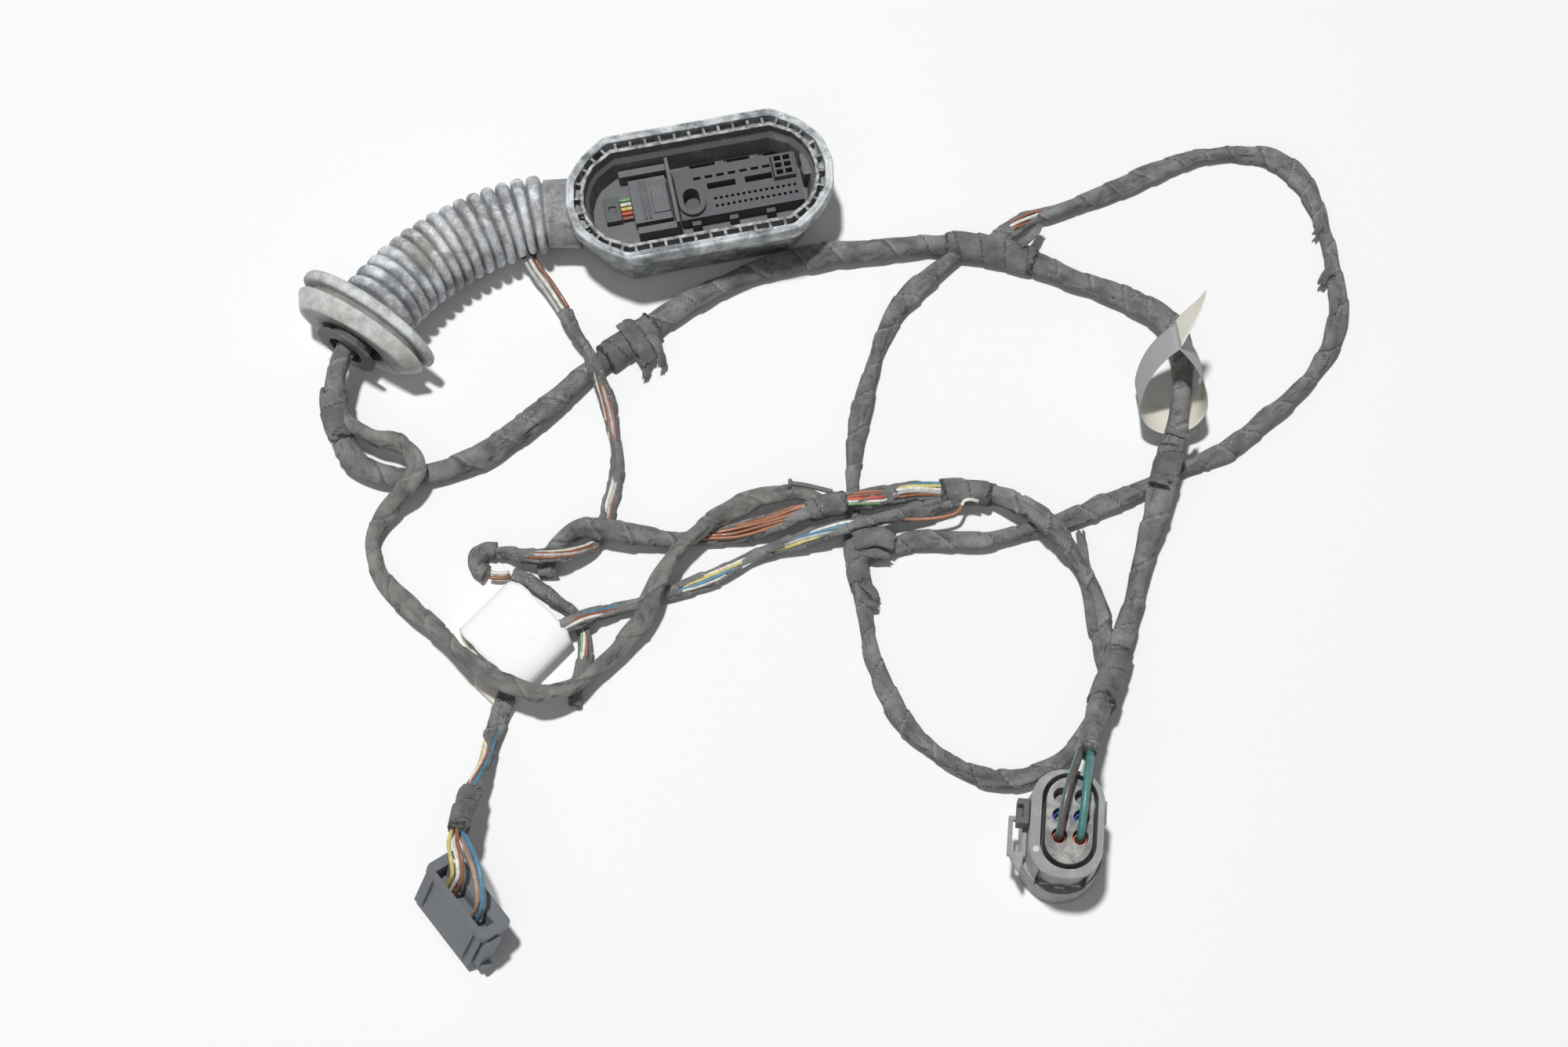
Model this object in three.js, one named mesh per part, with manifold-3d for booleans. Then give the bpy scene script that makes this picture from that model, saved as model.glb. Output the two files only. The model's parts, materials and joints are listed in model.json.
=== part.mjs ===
// Vehicle door wiring harness: moulded rubber boot with a station connector,
// taped cable branches, two end connectors and two paper labels.
// Millimetres, +Z up, the table surface is z = 0.
import * as THREE from 'three';
import { mergeVertices } from 'three/addons/utils/BufferGeometryUtils.js';
import Module from 'manifold-3d';

const wasm = await Module();
wasm.setup();

// Clearances
const fit = 0.3;
const weld = 1e-4;
const overlap = 0.5;
const through = 1;

// Rubber cup: an elongated octagon with rounded ends that opens upward
const cupPlace = { x: 5.4, y: 153.5, yaw: 11.5 };
const cupLength = 122;
const cupWidth = 63.4;
const cupHeight = 40;
const cupStraight = 77;
const cupEndRadius = 34.5;
const cupEndHalfAngle = 44.5;
const cupEndSteps = 6;
const cupWall = 2.4;
const cupFloor = 2.2;
const cupBaseInset = 10;
const cupDraftInset = 6;
const rimHeight = 8;
const rimBand = 3.8;
const rimLedge = 1.6;
const rimRidge = 0.9;
const rimChamfer = 1.2;

// Bellows and neck of the boot
const neckRadius = 15.6;
const ribCount = 15;
const ribPitch = 6.1;
const ribRadius = 18;
const rootRadius = 14.4;
const ribFlank = 0.3;
const bootWall = 1.5;
const boreRadius = 12.6;
const ribSides = 20;
const boreSides = 12;

// Grommet that snaps into the door pillar
const grommetHalfHeight = 22.6;
const grommetOval = 1.57;
const lipThickness = 6;
const grooveWidth = 2.6;
const grooveDepth = 4.5;
const snapLipThickness = 8;
const snapLipTaper = 5;
const grommetNeckLength = 1.5;
const grommetBore = 10;

// Torn notch in the side of the bellows
const tear = { x: -72, y: 132, z: 12.5, length: 7, width: 9, height: 8, yaw: -35 };

// Connector carrier inside the cup
const carrierInset = 6.6;
const carrierWall = 1.6;
const carrierTop = 38.6;
const carrierShoulder = 34;
const carrierBottom = 18;
const deckThickness = 2.2;
const toothLength = 2.5;
const toothWidth = 1.3;
const toothHeight = 3.2;
const toothPitch = 6.8;

// Station connector block, in the frame of the cup
const stationFace = 28;
const stationBlock = { x: 17.6, y: 1.5, length: 56, width: 25 };
const stationStem = { shoulder: 1.5, bottom: 13.8 };
const deckSlots = { first: -4, pitch: 16, count: 3, length: 12, width: 3, offset: 16.6 };
const pinColumns = 15;
const pinPitch = 2.6;
const pinRowPitch = 3.8;
const pinHole = 1.3;
const pinDepth = 6;
const pinField = { x: 24.6, y: -4.7 };
const longSlots = [{ x: 10.3, length: 13 }, { x: 27.4, length: 12.5 }];
const longSlot = { y: 3.8, width: 3, depth: 8 };
const keySlots = { first: 0, pitch: 5.3, count: 7, y: 8.7, length: 3.4, width: 1.4, depth: 4 };
const guideBoss = { y: -2.4, width: 12, length: 15.4, height: 2.4, wall: 2.3, depth: 6 };
const sideTabs = { first: -4, pitch: 17, count: 3, length: 4, width: 2.2, height: 5 };

// Pieces around the station connector
const sixWay = { x: 39.2, y: 6.6, length: 9.6, width: 11.6, rise: 3, wall: 1.2, depth: 7 };
const sixWayPocket = 7;
const guideX = stationBlock.x - stationBlock.length / 2 + guideBoss.width / 2;
const eye = { x: 49.2, y: 4.6, length: 3.8, width: 11, height: 12, hole: 3.8 };
const slidePlate = { gap: 1.25, thickness: 1.5, rise: 5 };
const slidePlateSpan = { from: -15.1, to: 17.9 };
const slideRails = [
  { offset: 16.3, width: 3.2, length: 22 },
  { offset: -13.3, width: 3.2, length: 18 },
];
const slideX = stationBlock.x - stationBlock.length / 2 - slidePlate.gap - slidePlate.thickness / 2;
const slideRailHeight = 7;
const secondBlock = { gap: 0.75, y: 3.6, length: 17, width: 22, top: 26 };
const secondRibs = { offset: -3.6, pitch: 2.2, count: 2, width: 0.9, height: 1.2 };
const secondPanel = { offset: 4.4, length: 7.4, width: 15, height: 0.8 };
const secondX = slideX - slidePlate.thickness / 2 - secondBlock.gap - secondBlock.length / 2;
const lockBlock = { x: -40, y: 2.8, length: 7.2, width: 12, top: 24, hole: 3.2 };
const stationWirePitch = 2.3;
const stationWireTints = [0x6b3a22, 0xa83a2a, 0xc9a53a, 0xd8d6cf, 0x4f8a55];

// Sleeve ring below the grommet
const ringWall = 1.1;
const ringFlange = 15.2;
const ringThickness = 1.6;
const ringLength = 5;
const ringInside = 7;

// Cable runs: diameter, sides and step length
const trunkDiameter = 10;
const leadDiameter = 7.5;
const loopDiameter = 8.5;
const plugLeadDiameter = 6.5;
const bootLeadDiameter = 6;
const bundleDiameter = 11;
const wireDiameter = 1.8;
const cordSides = 8;
const trunkSides = 10;
const stepDiameters = 1.5;
const wireStepDiameters = 3;
const thinWire = 4;

const bootLine = [
  [-41, 149, 18.6], [-50, 149.2, 18.6], [-60, 149.2, 18.6], [-72, 147.6, 18.6], [-86, 143, 18.6],
  [-100, 136, 18.8], [-112, 128, 19.2], [-123, 118, 20.2], [-132, 107.5, 21.6],
  [-139.4, 97, 22.7], [-145.4, 88, 22.9], [-150.8, 79, 22.9],
];

const trunkRoute = [
  [-149.7, 80.8, 22.9], [-152.8, 73, 22], [-155, 63, 20], [-155, 53, 16.5], [-152, 43, 13], [-148, 35, 9.5],
  [-140, 29, 6.5], [-127, 26, 5.2], [-112, 28, 5.2], [-94, 34, 5.2], [-77, 46, 5.2], [-62, 60, 5.2],
  [-48, 74, 5.2], [-34, 86, 5.2], [-18, 98, 5.2], [0, 112, 5.2], [19, 122, 5.2], [39, 130, 5.2],
  [62, 135, 5.2], [86, 138, 5.2], [111, 140, 5.2], [134, 138, 5.2], [157, 131, 5.2], [175, 123, 5.5],
  [191, 116, 6], [204, 109, 7.5], [215, 100, 9.5], [220, 88, 12], [220, 74, 15], [218, 59, 17],
  [215, 44, 17.6], [211, 29, 16], [207, 14, 14], [203, 0, 11], [199, -15, 7.5], [195, -30, 5.8],
  [190, -45, 6.8], [185, -61, 9.4], [179, -77, 15.5], [173, -92, 25.5], [168.6, -103.5, 35.5], [166.6, -109, 40],
];

const smoothRoute = [
  [-152, 50, 15.5], [-144, 45, 14.2], [-136, 41, 13.5], [-128, 39, 13.6], [-121, 34, 14.3],
  [-118, 27, 14.7], [-121, 19, 13.6], [-128, 12, 9.5], [-134, 4, 5.5], [-137, -5, 4], [-135, -15, 4],
  [-128, -26, 4.2], [-116, -37, 7], [-105, -48, 12.5], [-95, -59, 17.5], [-85, -67, 19.5],
  [-73, -74, 19.5], [-60, -77, 17.5], [-47, -73, 13], [-37, -64, 9], [-27, -54, 7.5], [-18, -42, 9.8],
  [-12, -27, 12], [-4, -13, 13.2], [8, -1, 13], [23, 10, 10.5], [39, 16, 10], [51, 16, 11.2], [61, 11, 12.3],
];

const middleRoute = [
  [184, -66, 9], [181, -57, 6], [180, -44, 4.6], [177, -28, 4.6], [170, -13, 6.5], [160, -1, 12.2],
  [153, 5, 13.4], [143, 12, 11], [131, 17, 8.2], [117, 18, 8.6], [101, 17, 10.2], [88, 14, 12.2],
  [74, 12, 12.8], [64, 10, 12.6], [50, 7, 10.5], [34, 2, 7], [19, -1, 4.8], [-1, -3, 4.4], [-16, -3, 6.5],
  [-27, -2, 10.4], [-35, -1, 11.6], [-43, 0, 10.4], [-51, -2, 7.2], [-57, -7, 4.8], [-60, -14, 4.4],
  [-60, -20, 4.4],
];

const plugRoute = [
  [127, 16, 8.2], [117, 14, 8.2], [108, 11, 8.6], [100, 8, 9.8], [91, 5, 11], [76, 2, 11.5], [63, -1, 10.2],
  [45, -6, 6], [30, -11, 3.8], [15, -19, 3.4], [-1, -26, 3.4], [-15, -31, 3.4], [-31, -36, 4.5],
  [-40, -40, 8], [-47, -44, 10.6], [-56, -49, 8.5], [-65, -57, 6.4], [-73, -68, 5.2], [-78, -81, 4.4],
  [-81, -93, 5.4], [-83, -107, 10.5], [-87, -120, 18.5], [-89.4, -132, 26], [-90.6, -140.5, 30.6],
];

const bootLeadRoute = [
  [-56, 106, 5.5], [-52, 97, 8.5], [-47, 88, 12], [-43, 79, 14], [-40, 71, 12], [-36, 62, 7],
  [-33, 50, 3.6], [-31, 37, 3.2], [-32, 22, 3.2], [-34, 13, 3.2], [-35, 4, 3.2], [-39, -5, 3.8],
  [-47, -11, 9.4], [-57, -14, 12.8], [-69, -13, 9.6], [-77, -10, 5.8], [-83, -9, 4.2],
];

const tailRoute = [
  [-75, -19, 3.2], [-69, -21, 3.2], [-63, -25, 3.2], [-56, -31, 3.2], [-48.6, -37, 3.2], [-44, -46, 3.2],
  [-43, -55, 3.2], [-44, -64, 3.2], [-46, -72, 3.2], [-46, -79, 3.2],
];

const crossRoute = [
  [126, 138, 5.2], [117, 132, 4.6], [109, 125, 4], [100, 116, 4], [92, 104, 4], [86, 90, 4], [81, 73, 4],
  [77, 56, 4], [74, 39, 4], [73, 22, 4], [74, 9, 4], [74, -6, 4], [76, -22, 4], [78, -38, 4], [81, -56, 4],
  [87, -72, 4], [96, -88, 4], [108, -100, 4], [121, -108, 4], [136, -112, 4], [151, -108, 4],
  [162, -101, 4.5], [170, -92, 6], [176, -83, 9.5], [180, -76, 13],
];

const rearRoute = [
  [136, 138, 5.2], [144, 146, 4.8], [154, 153, 4.2], [167, 158, 4], [184, 164, 4], [201, 172, 4],
  [219, 181, 4], [237, 187, 4], [256, 188, 4], [270, 185, 4], [280, 177, 4], [287, 163, 4], [291, 145, 4],
  [293, 126, 4], [294, 108, 4], [290, 92, 4], [281, 77, 4], [269, 65, 4], [254, 52, 4], [239, 40, 4],
  [224, 32, 4], [209, 25, 4], [194, 18, 4], [178, 11, 4], [162, 4, 4], [145, 0, 4], [129, -3, 4],
  [113, -3, 4], [98, -4, 4], [86, -8, 4], [75.5, -12, 4],
];

const bundleRoute = [
  [-148.9, 82.4, 22.9], [-145.4, 88, 22.9], [-139.4, 97, 22.2], [-132, 107.5, 21], [-123, 118, 19.4],
  [-112, 128, 18], [-100, 136, 17], [-86, 143, 16], [-72, 147.6, 14.4], [-60, 149.2, 12.9],
  [-50, 149.8, 12], [-42, 150, 12], [-34, 150.2, 9.8], [-26, 150.4, 8.2], [-8, 152, 8], [6, 155, 8],
];

const bareWireRoute = [
  [-72, 129.4, 12], [-69, 124.5, 10.5], [-64.5, 119, 8.4], [-60.2, 112.8, 6.6], [-56.4, 106.9, 5.6],
];
const bareWireSpread = 2.3;
const bareWireTints = [0x7a4a34, 0xd9d7d0, 0x4f8a55];
const foldRoute = [
  [-82.6, -9.1, 4.2], [-87, -8.6, 4.2], [-90.6, -11.6, 4.2], [-90, -16.4, 4.2], [-86.4, -18.6, 4.2],
];
const foldDiameter = 8;
const foldWireRoute = [[-84.9, -19.4, 4.2], [-82, -20, 4.1], [-79, -19.8, 3.6], [-76.4, -19, 3.2]];
const foldWireTints = [0xc2ad45, 0x2f7fb5];

// Tape wraps: where each begins and ends beside its cable, and its outside diameter
const wrapExit = { from: [-155, 61], to: [-151.5, 42], diameter: 12.6 };
const wrapBulge = { from: [-37, 83], to: [-16, 99], diameter: 14 };
const wrapUpper = { from: [117, 140], to: [157, 131], diameter: 13.4 };
const wrapFray = { from: [212.5, 35], to: [208.5, 18], diameter: 12.6 };
const wrapMerge = { from: [186, -56], to: [177, -82], diameter: 13 };
const wrapJoin = { from: [70, 11], to: [54, 8], diameter: 11.2 };
const wrapCentre = { from: [134, 16], to: [112, 18], diameter: 11.4 };
const wrapTee = { from: [74, -3.5], to: [76.5, -25], diameter: 10.4 };
const wrapPlug = { from: [-87, -121], to: [-90.6, -140.5], diameter: 9.6 };
const slab = { x: 60, y: 0, length: 600, width: 500, height: 20 };
const wrapSides = 10;
const wrapSteps = 4;

// Sealed round-shroud connector that stands on its mating face
const sealPlace = { x: 158, y: -139.7, yaw: -5 };
const sealHeight = 40;
const shroud = { width: 33.6, length: 47.4, height: 20, wall: 2.2, depth: 15, corner: 16.4 };
const sealBody = { width: 30, length: 45, corner: 13 };
const recess = { width: 23, length: 40, depth: 12 };
const insert = { width: 19.3, length: 36.2, proud: 0.6 };
const insertPlace = { x: 0.8, y: 1.2 };
const cavityPlace = { x: 1.3, y: 3 };
const cavityRows = 3;
const cavityPitch = { x: 8.6, y: 8.3 };
const cavityDiameter = 6.6;
const cavityDepth = 7.5;
const cavitySides = 16;
const sealThickness = 3;
const windowCut = { width: 21, bottom: 16, top: 37, depth: 4.4 };
const sideRib = { y: 8, width: 3, length: 9, height: 14 };
const codeKey = { width: 4.2, height: 3, depth: 2.6, count: 3, pitch: 6.4, drop: 0.2 };
const latchBlock = { width: 5, length: 10.6, height: 9, top: 37, y: 4.6 };
const leverFrame = { width: 7.6, length: 16.5, height: 3, wall: 1.8, z: 24, y: -3.5 };
const leverTail = { length: 7, width: 3.2 };
const heavyWireDiameter = 3.4;
const heavyWireTints = [0x3d3a2e, 0x2f6f6f];
const blueSeal = 0x2f4f9f;
const redSeal = 0xb5402c;
const heavyWireRoutes = [
  [[164.5, -108.6, 40.3], [162.2, -115.6, 45.4], [158.6, -125, 48.6], [155.8, -136, 47.6],
    [154.6, -143.8, 43.2], [154.5, -144.7, 39], [154.5, -144.7, 34]],
  [[168.5, -110, 40.3], [167, -117.4, 45.6], [165.2, -128, 48.8], [163.8, -138, 47.6],
    [163.1, -144, 43.4], [163.1, -145.5, 38.6], [163.1, -145.5, 34]],
];

// Flat plug that leans on its mating edge
const plugPlace = { x: -90.5, y: -170.2, yaw: -51, lean: 66 };
const plugBody = { width: 37, thickness: 10, length: 27, wall: 1.4, socketDepth: 12 };
const plugFlange = { width: 40, depth: 15.6, thickness: 3.2, proud: 0.8, corner: 3 };
const plugEntry = { width: 31, depth: 6.6, reach: 7, floorWall: 1.6 };
const plugEye = { x: -15.6, y: -12.2, radius: 1.9 };
const plugRail = { width: 1.3, height: 1.6, length: 21, offset: 14 };
const plugKeeper = { width: 3.2, thickness: 7, length: 20, hook: 2.4 };
const plugWireTints = [0xc2ad45, 0xd9d7d0, 0x7a4a34, 0xb9a08c, 0x2f7fb5];
const plugWireRoutes = [
  [[-92.7, -140.3, 31.4], [-93.5, -146.6, 34], [-92, -153.5, 35], [-91.6, -158, 32.2], [-93, -160, 27],
    [-95.1, -161.6, 20.9]],
  [[-92, -141.5, 29.2], [-91.4, -147, 31.6], [-89.7, -154, 34.2], [-89.4, -159.6, 32.2], [-91.1, -161.6, 27.7],
    [-93.5, -163.6, 20.9]],
  [[-90.5, -139.9, 32.7], [-89.7, -146.2, 36.2], [-87.4, -154, 37.6], [-87.4, -161, 33.4],
    [-89.5, -163.5, 27.7], [-92, -165.5, 20.9]],
  [[-89.5, -141.9, 29.2], [-86.8, -148, 32.4], [-82.6, -158, 36], [-80.6, -168, 34], [-82.2, -172.5, 27.7],
    [-84.7, -174.5, 20.9]],
  [[-88.5, -140.9, 31.4], [-85, -147, 35.4], [-80.4, -157, 39.2], [-78.4, -169, 37], [-80.4, -174.7, 28.2],
    [-82.9, -176.7, 20.9]],
];

// Paper labels
const paper = 0.5;
const pocketLabel = { x: -72.4, y: -48.6, yaw: 47, length: 34, width: 40, height: 13.4 };
const flagLabel = {
  x: 211, y: 61, z: 0.4, lean: -10, tilt: 57, width: 30, height: 45, band: 21, tail: 25, tailAngle: 18,
  shoulder: 0.68, pinch: 2.4,
};
const flagSegments = 8;

const up = new THREE.Vector3(0, 0, 1);

function material(color, roughness, metalness = 0) {
  return new THREE.MeshStandardMaterial({ color, roughness, metalness });
}

function signedVolume(positions, triangles) {
  const a = new THREE.Vector3();
  const b = new THREE.Vector3();
  const c = new THREE.Vector3();
  let sum = 0;
  for (let i = 0; i < triangles.length; i += 3) {
    a.fromArray(positions, 3 * triangles[i]);
    b.fromArray(positions, 3 * triangles[i + 1]);
    c.fromArray(positions, 3 * triangles[i + 2]);
    sum += a.dot(b.cross(c));
  }
  return sum;
}

// A closed geometry as a solid, with its seams welded and its faces pointing out
function solidOf(geometry) {
  const bare = geometry.clone();
  bare.deleteAttribute('normal');
  bare.deleteAttribute('uv');
  const merged = mergeVertices(bare, weld);
  const positions = new Float32Array(merged.attributes.position.array);
  const index = merged.index.array;
  const triangles = [];
  for (let i = 0; i < index.length; i += 3) {
    const [a, b, c] = [index[i], index[i + 1], index[i + 2]];
    if (a !== b && b !== c && a !== c) triangles.push(a, b, c);
  }
  if (signedVolume(positions, triangles) < 0) triangles.reverse();
  const mesh = new wasm.Mesh({
    numProp: 3,
    vertProperties: positions,
    triVerts: new Uint32Array(triangles),
  });
  return new wasm.Manifold(mesh);
}

function geometryOf(solid) {
  const mesh = solid.getMesh();
  const geometry = new THREE.BufferGeometry();
  geometry.setAttribute('position', new THREE.BufferAttribute(mesh.vertProperties, 3));
  geometry.setIndex(new THREE.BufferAttribute(mesh.triVerts, 1));
  geometry.computeVertexNormals();
  return geometry;
}

function named(name, solid, finish) {
  const mesh = new THREE.Mesh(geometryOf(solid), finish);
  mesh.name = name;
  return mesh;
}

function union(solids) {
  return solids.reduce((sum, solid) => sum.add(solid));
}

// A box from its centre in plan, its floor height and its sizes
function block(x, y, z, length, width, height) {
  const geometry = new THREE.BoxGeometry(length, width, height);
  geometry.translate(x, y, z + height / 2);
  return solidOf(geometry);
}

function post(x, y, z, radius, height, sides = 16) {
  const geometry = new THREE.CylinderGeometry(radius, radius, height, sides);
  geometry.rotateX(Math.PI / 2);
  geometry.translate(x, y, z + height / 2);
  return solidOf(geometry);
}

function prism(shape, z, height, curveSegments = 6) {
  const geometry = new THREE.ExtrudeGeometry(shape, { depth: height, bevelEnabled: false, curveSegments });
  geometry.translate(0, 0, z);
  return solidOf(geometry);
}

function roundedRectangle(length, width, corner) {
  const x = length / 2;
  const y = width / 2;
  const r = Math.min(corner, x - weld * 10, y - weld * 10);
  const shape = new THREE.Shape();
  shape.moveTo(-x + r, -y);
  shape.lineTo(x - r, -y);
  shape.absarc(x - r, -y + r, r, -Math.PI / 2, 0, false);
  shape.lineTo(x, y - r);
  shape.absarc(x - r, y - r, r, 0, Math.PI / 2, false);
  shape.lineTo(-x + r, y);
  shape.absarc(-x + r, y - r, r, Math.PI / 2, Math.PI, false);
  shape.lineTo(-x, -y + r);
  shape.absarc(-x + r, -y + r, r, Math.PI, Math.PI * 1.5, false);
  return shape;
}

function section(radius, sides) {
  const shape = new THREE.Shape();
  for (let i = 0; i < sides; i += 1) {
    const angle = (2 * Math.PI * i) / sides;
    const x = radius * Math.cos(angle);
    const y = radius * Math.sin(angle);
    if (i === 0) shape.moveTo(x, y);
    else shape.lineTo(x, y);
  }
  shape.closePath();
  return shape;
}

function curveOf(points) {
  return new THREE.CatmullRomCurve3(points.map((p) => new THREE.Vector3(...p)));
}

function tube(curve, diameter, sides, steps) {
  const settings = { steps, extrudePath: curve, bevelEnabled: false };
  return solidOf(new THREE.ExtrudeGeometry(section(diameter / 2, sides), settings));
}

function stepsOf(curve, diameter) {
  const spacing = diameter < thinWire ? wireStepDiameters : stepDiameters;
  return Math.max(3, Math.round(curve.getLength() / (spacing * diameter)));
}

// A cable: its solid and a fatter one that keeps neighbours the fit away from it
function cable(points, diameter, sides = cordSides) {
  const curve = curveOf(points);
  const steps = stepsOf(curve, diameter);
  return {
    curve,
    solid: tube(curve, diameter, sides, steps),
    reach: tube(curve, diameter + 2 * fit, sides, steps),
  };
}

function nearest(curve, [x, y]) {
  const samples = 400;
  let best = 0;
  let least = Infinity;
  for (let i = 0; i <= samples; i += 1) {
    const p = curve.getPointAt(i / samples);
    const distance = Math.hypot(p.x - x, p.y - y);
    if (distance < least) {
      least = distance;
      best = i / samples;
    }
  }
  return best;
}

function stretch(curve, start, end) {
  const count = 6;
  const points = [];
  for (let i = 0; i <= count; i += 1) {
    points.push(curve.getPointAt(THREE.MathUtils.lerp(start, end, i / count)));
  }
  return new THREE.CatmullRomCurve3(points);
}

// The table under the wraps, which lie flattened on it
const tableSlab = block(slab.x, slab.y, -slab.height, slab.length, slab.width, slab.height + fit);

// A tape wrap around a cable, and a fatter one that trims the branches that leave it
function wrapAround(run, wrap) {
  const start = nearest(run.curve, wrap.from);
  const end = nearest(run.curve, wrap.to);
  const margin = fit / run.curve.getLength();
  const outer = tube(stretch(run.curve, start, end), wrap.diameter, wrapSides, wrapSteps);
  const longer = stretch(run.curve, Math.max(0, start - margin), Math.min(1, end + margin));
  return {
    solid: outer.subtract(run.reach).subtract(tableSlab),
    reach: tube(longer, wrap.diameter + 2 * fit, wrapSides, wrapSteps),
  };
}

// The cup's outline, drawn in by an inset along its edges
function cupOutline(inset) {
  const corners = [];
  const arcCentre = cupLength / 2 - cupEndRadius;
  for (const side of [1, -1]) {
    corners.push([side * cupStraight / 2, -side * cupWidth / 2]);
    for (let i = 0; i <= cupEndSteps; i += 1) {
      const angle = THREE.MathUtils.degToRad(cupEndHalfAngle * (2 * i / cupEndSteps - 1));
      const x = arcCentre + cupEndRadius * Math.cos(angle);
      const y = cupEndRadius * Math.sin(angle);
      corners.push([side * x, side * y]);
    }
    corners.push([side * cupStraight / 2, side * cupWidth / 2]);
  }
  const count = corners.length;
  return corners.map((corner, i) => {
    const before = corners[(i + count - 1) % count];
    const after = corners[(i + 1) % count];
    const n1 = edgeNormal(before, corner);
    const n2 = edgeNormal(corner, after);
    const scale = inset / (1 + n1.dot(n2));
    return new THREE.Vector2(corner[0] - (n1.x + n2.x) * scale, corner[1] - (n1.y + n2.y) * scale);
  });
}

function edgeNormal([x0, y0], [x1, y1]) {
  return new THREE.Vector2(y1 - y0, x0 - x1).normalize();
}

// A solid of revolution whose rings follow the cup's outline instead of circles.
// Each station is an inset and a height; the ends of the profile lie on the axis.
function outlineSolid(stations) {
  const rings = stations.map(([inset]) => cupOutline(inset));
  const sides = rings[0].length;
  const profile = [new THREE.Vector2(0, stations[0][1])];
  stations.forEach(([inset, z]) => profile.push(new THREE.Vector2(cupLength - inset, z)));
  profile.push(new THREE.Vector2(0, stations[stations.length - 1][1]));
  const geometry = new THREE.LatheGeometry(profile, sides);
  const position = geometry.attributes.position;
  for (let i = 0; i <= sides; i += 1) {
    stations.forEach(([, z], j) => {
      const corner = rings[j][i % sides];
      position.setXYZ(i * profile.length + j + 1, corner.x, corner.y, z);
    });
    position.setXYZ(i * profile.length, 0, 0, stations[0][1]);
    position.setXYZ((i + 1) * profile.length - 1, 0, 0, stations[stations.length - 1][1]);
  }
  return solidOf(geometry);
}

function placed(solid, place) {
  return solid.rotate([0, 0, place.yaw]).translate([place.x, place.y, 0]);
}

// A solid of revolution bent along a curve; ovality widens it sideways
function bentSolid(profile, curve, sides, ovality) {
  const geometry = new THREE.LatheGeometry(profile.map(([s, r]) => new THREE.Vector2(r, s)), sides);
  const position = geometry.attributes.position;
  const length = curve.getLength();
  const vertex = new THREE.Vector3();
  for (let i = 0; i < position.count; i += 1) {
    vertex.fromBufferAttribute(position, i);
    const along = THREE.MathUtils.clamp(vertex.y / length, 0, 1);
    const tangent = curve.getTangentAt(along);
    const side = tangent.clone().cross(up).normalize();
    const rise = side.clone().cross(tangent);
    const place = curve.getPointAt(along);
    place.addScaledVector(side, vertex.x * ovality(vertex.y));
    place.addScaledVector(rise, vertex.z);
    position.setXYZ(i, place.x, place.y, place.z);
  }
  return solidOf(geometry);
}

// The boot: cup, neck, bellows and grommet moulded in one piece
const rimBottom = cupHeight - rimHeight;
const bellowsCurve = curveOf(bootLine);
const bellowsEnd = bellowsCurve.getLength();
const snapEnd = bellowsEnd - ringLength;
const snapStart = snapEnd - snapLipThickness;
const lipEnd = snapStart - grooveWidth;
const lipStart = lipEnd - lipThickness;
const ribsEnd = lipStart - grommetNeckLength;
const ribsStart = ribsEnd - ribCount * ribPitch;

function grommetWidening(s) {
  const share = THREE.MathUtils.smoothstep(s, lipStart - overlap, lipStart + rimChamfer);
  return THREE.MathUtils.lerp(1, grommetOval, share);
}

function sleeveOutside() {
  const profile = [[0, 0], [0, neckRadius], [ribsStart - overlap, neckRadius]];
  for (let i = 0; i < ribCount; i += 1) {
    const s = ribsStart + i * ribPitch;
    profile.push([s, rootRadius]);
    profile.push([s + ribFlank * ribPitch, ribRadius]);
    profile.push([s + (1 - ribFlank) * ribPitch, ribRadius]);
  }
  profile.push([ribsEnd, rootRadius]);
  profile.push([lipStart, rootRadius]);
  profile.push([lipStart + rimChamfer, grommetHalfHeight]);
  profile.push([lipEnd, grommetHalfHeight]);
  profile.push([lipEnd, grommetHalfHeight - grooveDepth]);
  profile.push([snapStart, grommetHalfHeight - grooveDepth]);
  profile.push([snapStart, grommetHalfHeight - rimChamfer]);
  profile.push([snapEnd, grommetHalfHeight - snapLipTaper]);
  profile.push([snapEnd, 0]);
  return bentSolid(profile, bellowsCurve, ribSides, grommetWidening);
}

function sleeveBore() {
  const profile = [[0, 0], [0, boreRadius], [ribsStart, boreRadius]];
  for (let i = 0; i < ribCount; i += 1) {
    const s = ribsStart + i * ribPitch;
    profile.push([s + ribPitch / 2, ribRadius - bootWall]);
    profile.push([s + ribPitch, rootRadius - bootWall]);
  }
  profile.push([lipStart + lipThickness / 2, grommetBore]);
  profile.push([snapEnd + through, grommetBore]);
  profile.push([snapEnd + through, 0]);
  return bentSolid(profile, bellowsCurve, boreSides, () => 1);
}

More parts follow.
